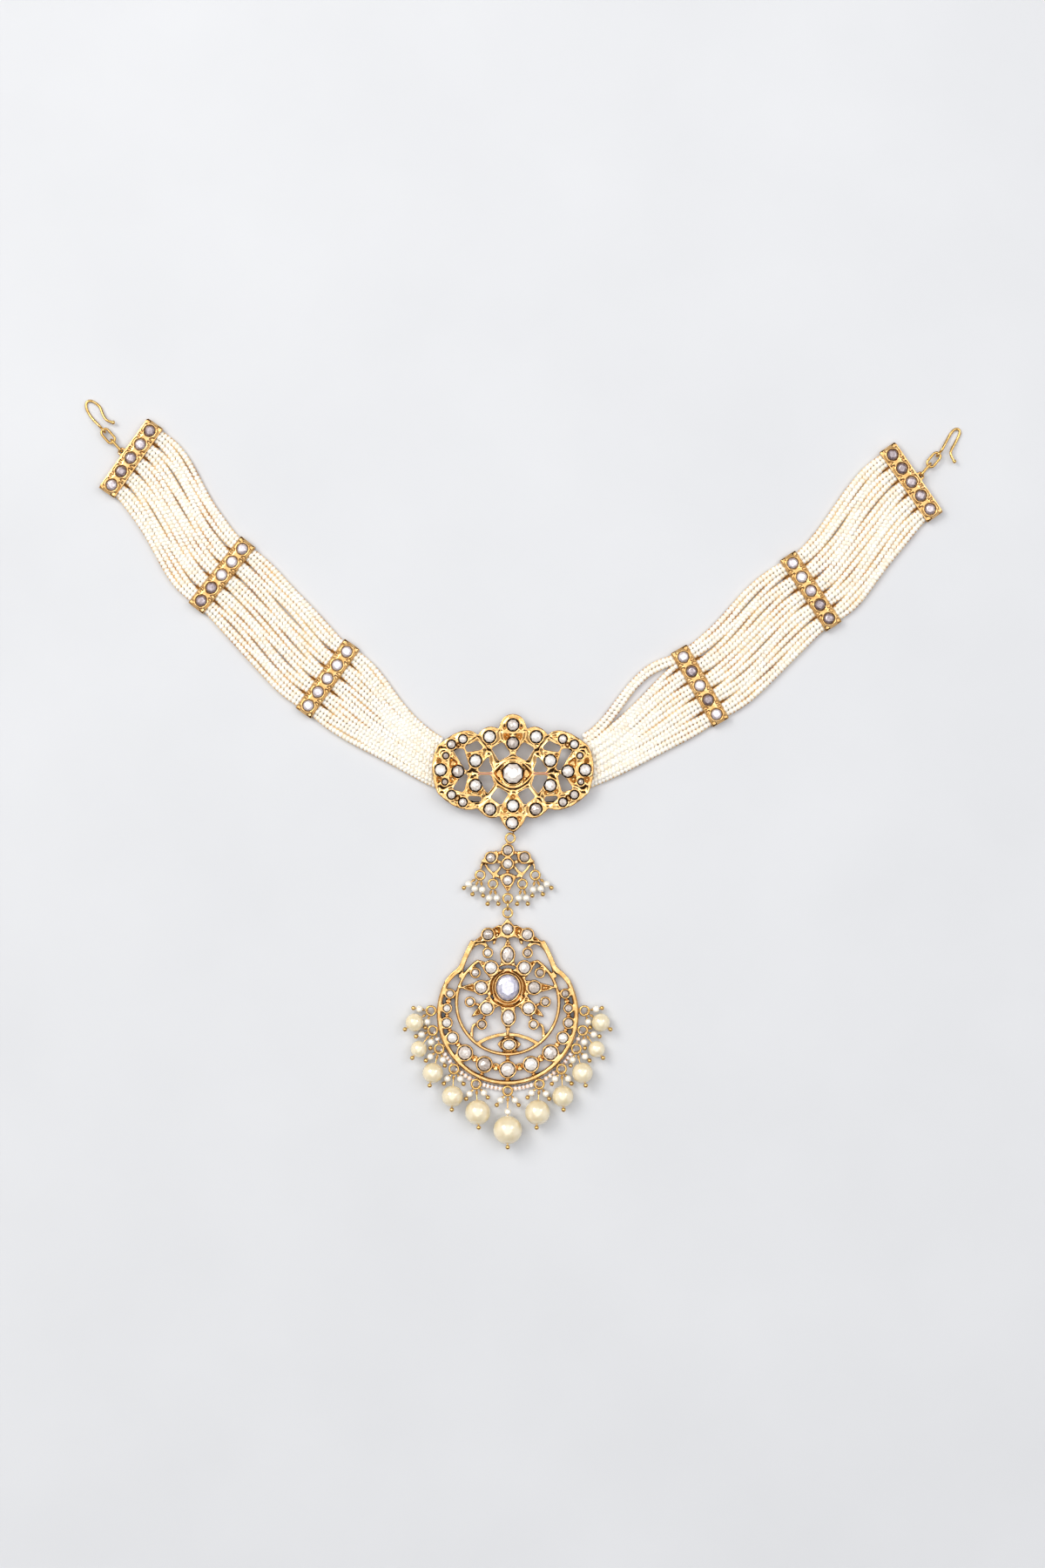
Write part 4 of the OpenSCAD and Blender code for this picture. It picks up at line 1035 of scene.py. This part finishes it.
class PATTI_OT_strands(bpy.types.Operator):
    """Seed pearls on their threads, fifteen strands to a section, and dark wedges of painted shade at the
    bars.
    """

    bl_idname = "patti.strands"
    bl_label = "Strands"

    def execute(self, context):
        band = context.scene.patti_band
        tree = bead_tree()
        values = {
            "Bead": band.bead_d,
            "Pitch": band.bead_pitch,
            "Thread": band.thread_d,
            # the cord under each strand is painted shade in the gaps between the pearls
            "Shade cord width": band.bead_d - 0.1 * MM,
            "Shade cord height": band.shade_cord_h,
            "Stray": 0.05 * MM,
            "Pearl": material(ivory_seed),
            "Cotton and gap shade": material(tan_thread_and_gap_shade),
        }
        for side in SIDES:
            for section in range(1, BARS + 1):
                seed = section + 10 * (side == "right")
                data = lines_mesh("strands", strand_lines(side, section, band, random.Random(seed)))
                run = f"{side}_{section}"
                given = {**values, "Seed": seed}
                grown(f"strand_pearls_{run}", data, tree, given, "seed_pearl", f"strands_{run}")
        # painted shade: dark brown wedges in the gaps between groups of strands at each bar
        shade_wedges = bmesh.new()
        inset = 0.4 * MM
        for side in SIDES:
            for i, (around, axis, out, pitch) in enumerate(bar_frames(side)):
                for way in (-1, 1) if i < BARS - 1 else (-1,):
                    face = around + out * way * (band.bar_w / 2 - inset)
                    for gap in range(1, GROUPS):
                        foot = face + axis * (gap - GROUPS / 2) * pitch
                        shade_wedge(shade_wedges, foot, axis * band.shade_wedge_w / 2, out * way * band.shade_wedge_l)
        shade_wedges = as_object("thread_knots", shade_wedges)
        shade_wedges.data.materials.append(material(brown_gap_shade))
        settled(shade_wedges, 40)
        handed(shade_wedges, "seed_pearl")
        return {"FINISHED"}


# Pearls and small beads


def ring_through(points):
    """Middle and radius of the circle that lies closest to the points, seen from above."""
    sums = Matrix(((0, 0, 0), (0, 0, 0), (0, 0, 0)))
    right = Vector((0, 0, 0))
    near = middle(points)
    for p in points:
        row = Vector(((p.x - near.x) / MM, (p.y - near.y) / MM, 1))
        sums += Matrix([row * value for value in row])
        right += row * (row.x**2 + row.y**2)
    a, b, c = sums.inverted() @ right
    return Vector((near.x + a / 2 * MM, near.y + b / 2 * MM)), math.sqrt(c + (a * a + b * b) / 4) * MM


def edging_lines():
    """One line through the middle of each run of the edging."""
    runs = corners("edging_thread")
    outward = 0.3 * MM
    steps = 12
    centre, radius = ring_through([p for run in runs for p in run])
    lines = []
    for run in runs:
        z = middle(run).z
        first = run[0].xy - centre
        base = math.atan2(first.y, first.x)
        spokes = [p.xy - centre for p in run]
        turns = [(math.atan2(way.y, way.x) - base + math.pi) % math.tau - math.pi for way in spokes]
        low, high = base + min(turns), base + max(turns)
        angles = [low + (high - low) * i / steps for i in range(steps + 1)]
        ways = [Vector((math.cos(t), math.sin(t))) * (radius + outward) for t in angles]
        lines.append([(centre.x + way.x, centre.y + way.y, z) for way in ways])
    return lines


def drilled_pearl(name, size, way, place, pick):
    """A pearl turned on its bore, a little out of round."""
    bore = 0.3 * MM
    sides = 40
    rows = 22
    out_of_round = (0.02, 0.02, 0.03)
    radius = size / 2
    first = math.asin(bore / radius)
    made = bmesh.new()
    rings = []
    for i in range(rows + 1):
        polar = first + (math.pi - 2 * first) * i / rows
        r, z = radius * math.sin(polar), -radius * math.cos(polar)
        around = [math.tau * k / sides for k in range(sides)]
        rings.append([made.verts.new((r * math.cos(a), r * math.sin(a), z)) for a in around])
    for lower, upper in zip(rings, rings[1:] + rings[:1]):
        for i in range(sides):
            j = (i + 1) % sides
            made.faces.new((lower[i], lower[j], upper[j], upper[i]))
    turn = way.to_track_quat("Z", "Y").to_matrix().to_4x4()
    swell = Matrix.Diagonal([1 - pick.uniform(0, share) for share in out_of_round] + [1])
    bmesh.ops.transform(made, matrix=Matrix.Translation(place) @ turn @ swell, verts=made.verts)
    bmesh.ops.recalc_face_normals(made, faces=made.faces)
    return as_object(name, made)


class PATTI_OT_pearls(bpy.types.Operator):
    """The drop pearls on their pins."""

    bl_idname = "patti.pearls"
    bl_label = "Drop pearls"

    def execute(self, context):
        rings = ring_middles()
        finish = material(cream_pearl)
        for seed, n in enumerate(DROPS):
            low, high = (Vector(c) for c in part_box(f"pearl_{n}"))
            centre = (low + high) / 2
            ring = min(rings, key=lambda r: (r - centre).length)
            pick = random.Random(seed)
            made = drilled_pearl(f"drop_pearl_{n}", high.z - low.z, centre - ring, centre, pick)
            made.data.materials.append(finish)
            settled(made, 50)
            handed(made, "pearl", f"pearl_{n}")
        return {"FINISHED"}


class PATTI_OT_small_beads(bpy.types.Operator):
    """Seed pearls on the head pins, and the beads that edge the pendant."""

    bl_idname = "patti.small_beads"
    bl_label = "Small beads"

    def execute(self, context):
        for name in ("fan_seeds", "fringe_seeds"):
            dressed(name, material(river_seed))
        band = context.scene.patti_band
        data = lines_mesh("edging", edging_lines())
        values = {
            "Bead": band.edging_d,
            "Pitch": band.edging_pitch,
            "Thread": 0.3 * MM,
            "Shade cord width": 0.3 * MM,
            "Shade cord height": 0.9 * MM,
            "Stray": 0.03 * MM,
            "Seed": 5,
            "Pearl": material(blush_bead),
            "Cotton and gap shade": material(tan_thread_and_gap_shade),
        }
        grown("edging_beads", data, bead_tree(), values, "edging_bead", "edging_thread")
        return {"FINISHED"}


# Stage


def soft_box(name, place, side, radiance, tone, aim=(0, 0, 0)):
    """A square area light of that radiance, aimed at a point."""
    data = bpy.data.lights.new(name, "AREA")
    data.shape = "SQUARE"
    data.size = side
    data.energy = radiance * math.pi * side**2
    data.color = linear(tone)[:3]
    made = bpy.data.objects.new(name, data)
    made.location = place
    made.rotation_euler = (Vector(aim) - Vector(place)).to_track_quat("-Z", "Y").to_euler()
    made.visible_camera = False
    bpy.context.scene.collection.objects.link(made)


class PATTI_OT_stage(bpy.types.Operator):
    """Pale paper floor, soft boxes and the camera straight above."""

    bl_idname = "patti.stage"
    bl_label = "Stage"

    def execute(self, context):
        scene = context.scene
        stage = scene.patti_stage
        half = stage.floor_size / 2
        floor = bpy.data.meshes.new("floor")
        drop = min(cad_low[2], 0.0) - 0.02 * MM
        edges = [(-half, -half), (half, -half), (half, half), (-half, half)]
        floor.from_pydata([(x, y, drop) for x, y in edges], [], [(0, 1, 2, 3)])
        floor.materials.append(material(pale_paper))
        as_object("floor", floor)

        world = bpy.data.worlds.new("studio")
        world.use_nodes = True
        tree = world.node_tree
        tree.nodes.clear()
        around = node(tree, "ShaderNodeTexCoord").outputs["Generated"]
        way = node(tree, "ShaderNodeSeparateXYZ", {0: around}).outputs
        stops = [(0.0, "#D2D2D4"), (0.1, "#7A736C"), (0.22, "#37302A"), (0.7, "#3A332D"), (0.88, "#B9B8BA")]
        sky = node(tree, "ShaderNodeValToRGB", {"Fac": way["Z"]}, stops=stops)
        beside = node(tree, "ShaderNodeMath", {0: way["X"]}, operation="ABSOLUTE")
        stops = [(0.6, "#000000"), (0.78, "#F4F4F6"), (0.9, "#FFFFFF")]
        walls = node(tree, "ShaderNodeValToRGB", {"Fac": beside}, stops=stops)
        screen = {"data_type": "RGBA", "blend_type": "SCREEN"}
        both = node(tree, "ShaderNodeMix", {"Factor": 1.0, 6: sky, 7: walls}, **screen).outputs[2]
        back = node(tree, "ShaderNodeBackground", {"Color": both, "Strength": 0.72})
        node(tree, "ShaderNodeOutputWorld", {"Surface": back})
        scene.world = world

        soft_box("top_box", (-0.05, 0.12, 1.45), 2.0, 1.5, "#FFFEFC", (0, 0.05, 0))
        soft_box("key_box", (-0.75, 0.6, 1.05), 0.66, 6.4, "#FFFDF8")
        soft_box("fill_box", (0.8, 0.5, 1.05), 0.5, 3.8, "#FAFBFF")

        data = bpy.data.cameras.new("camera")
        data.sensor_width = 36
        data.lens = data.sensor_width * stage.camera_height / stage.shown_height
        data.clip_start = 0.01
        camera = bpy.data.objects.new("camera", data)
        # the picture's middle lies to the right of the plaque's and a little below it
        camera.location = (2.75 * MM, -3 * MM, stage.camera_height + 2 * MM)
        scene.collection.objects.link(camera)
        scene.camera = camera
        scene.view_settings.view_transform = "Standard"
        return {"FINISHED"}


class PATTI_PT_panel(bpy.types.Panel):
    """Lists the pieces of the ornament."""

    bl_label = "Matha Patti"
    bl_space_type = "VIEW_3D"
    bl_region_type = "UI"
    bl_category = "Patti"

    def draw(self, context):
        for maker in MAKERS:
            self.layout.operator(maker.bl_idname)
        for group in GROUPS_OF_VALUES:
            values = getattr(context.scene, group)
            for key in values.bl_rna.properties.keys():
                if key not in ("rna_type", "name"):
                    self.layout.prop(values, key)


GROUPS_OF_VALUES = {
    "patti_band": PattiBand,
    "patti_metal": PattiMetal,
    "patti_colours": PattiColours,
    "patti_stage": PattiStage,
}
MAKERS = [
    PATTI_OT_stage,
    PATTI_OT_gold,
    PATTI_OT_wire,
    PATTI_OT_stones,
    PATTI_OT_strands,
    PATTI_OT_pearls,
    PATTI_OT_small_beads,
]


def register():
    for group in GROUPS_OF_VALUES.values():
        bpy.utils.register_class(group)
    for name, group in GROUPS_OF_VALUES.items():
        setattr(bpy.types.Scene, name, bpy.props.PointerProperty(type=group))
    for maker in MAKERS + [PATTI_PT_panel]:
        bpy.utils.register_class(maker)


def unregister():
    for maker in reversed(MAKERS + [PATTI_PT_panel]):
        bpy.utils.unregister_class(maker)
    for name, group in GROUPS_OF_VALUES.items():
        delattr(bpy.types.Scene, name)
        bpy.utils.unregister_class(group)


def main():
    register()
    bpy.ops.patti.stage()
    bpy.ops.patti.gold()
    bpy.ops.patti.wire()
    bpy.ops.patti.stones()
    bpy.ops.patti.strands()
    bpy.ops.patti.pearls()
    bpy.ops.patti.small_beads()


if __name__ == "__main__":
    main()
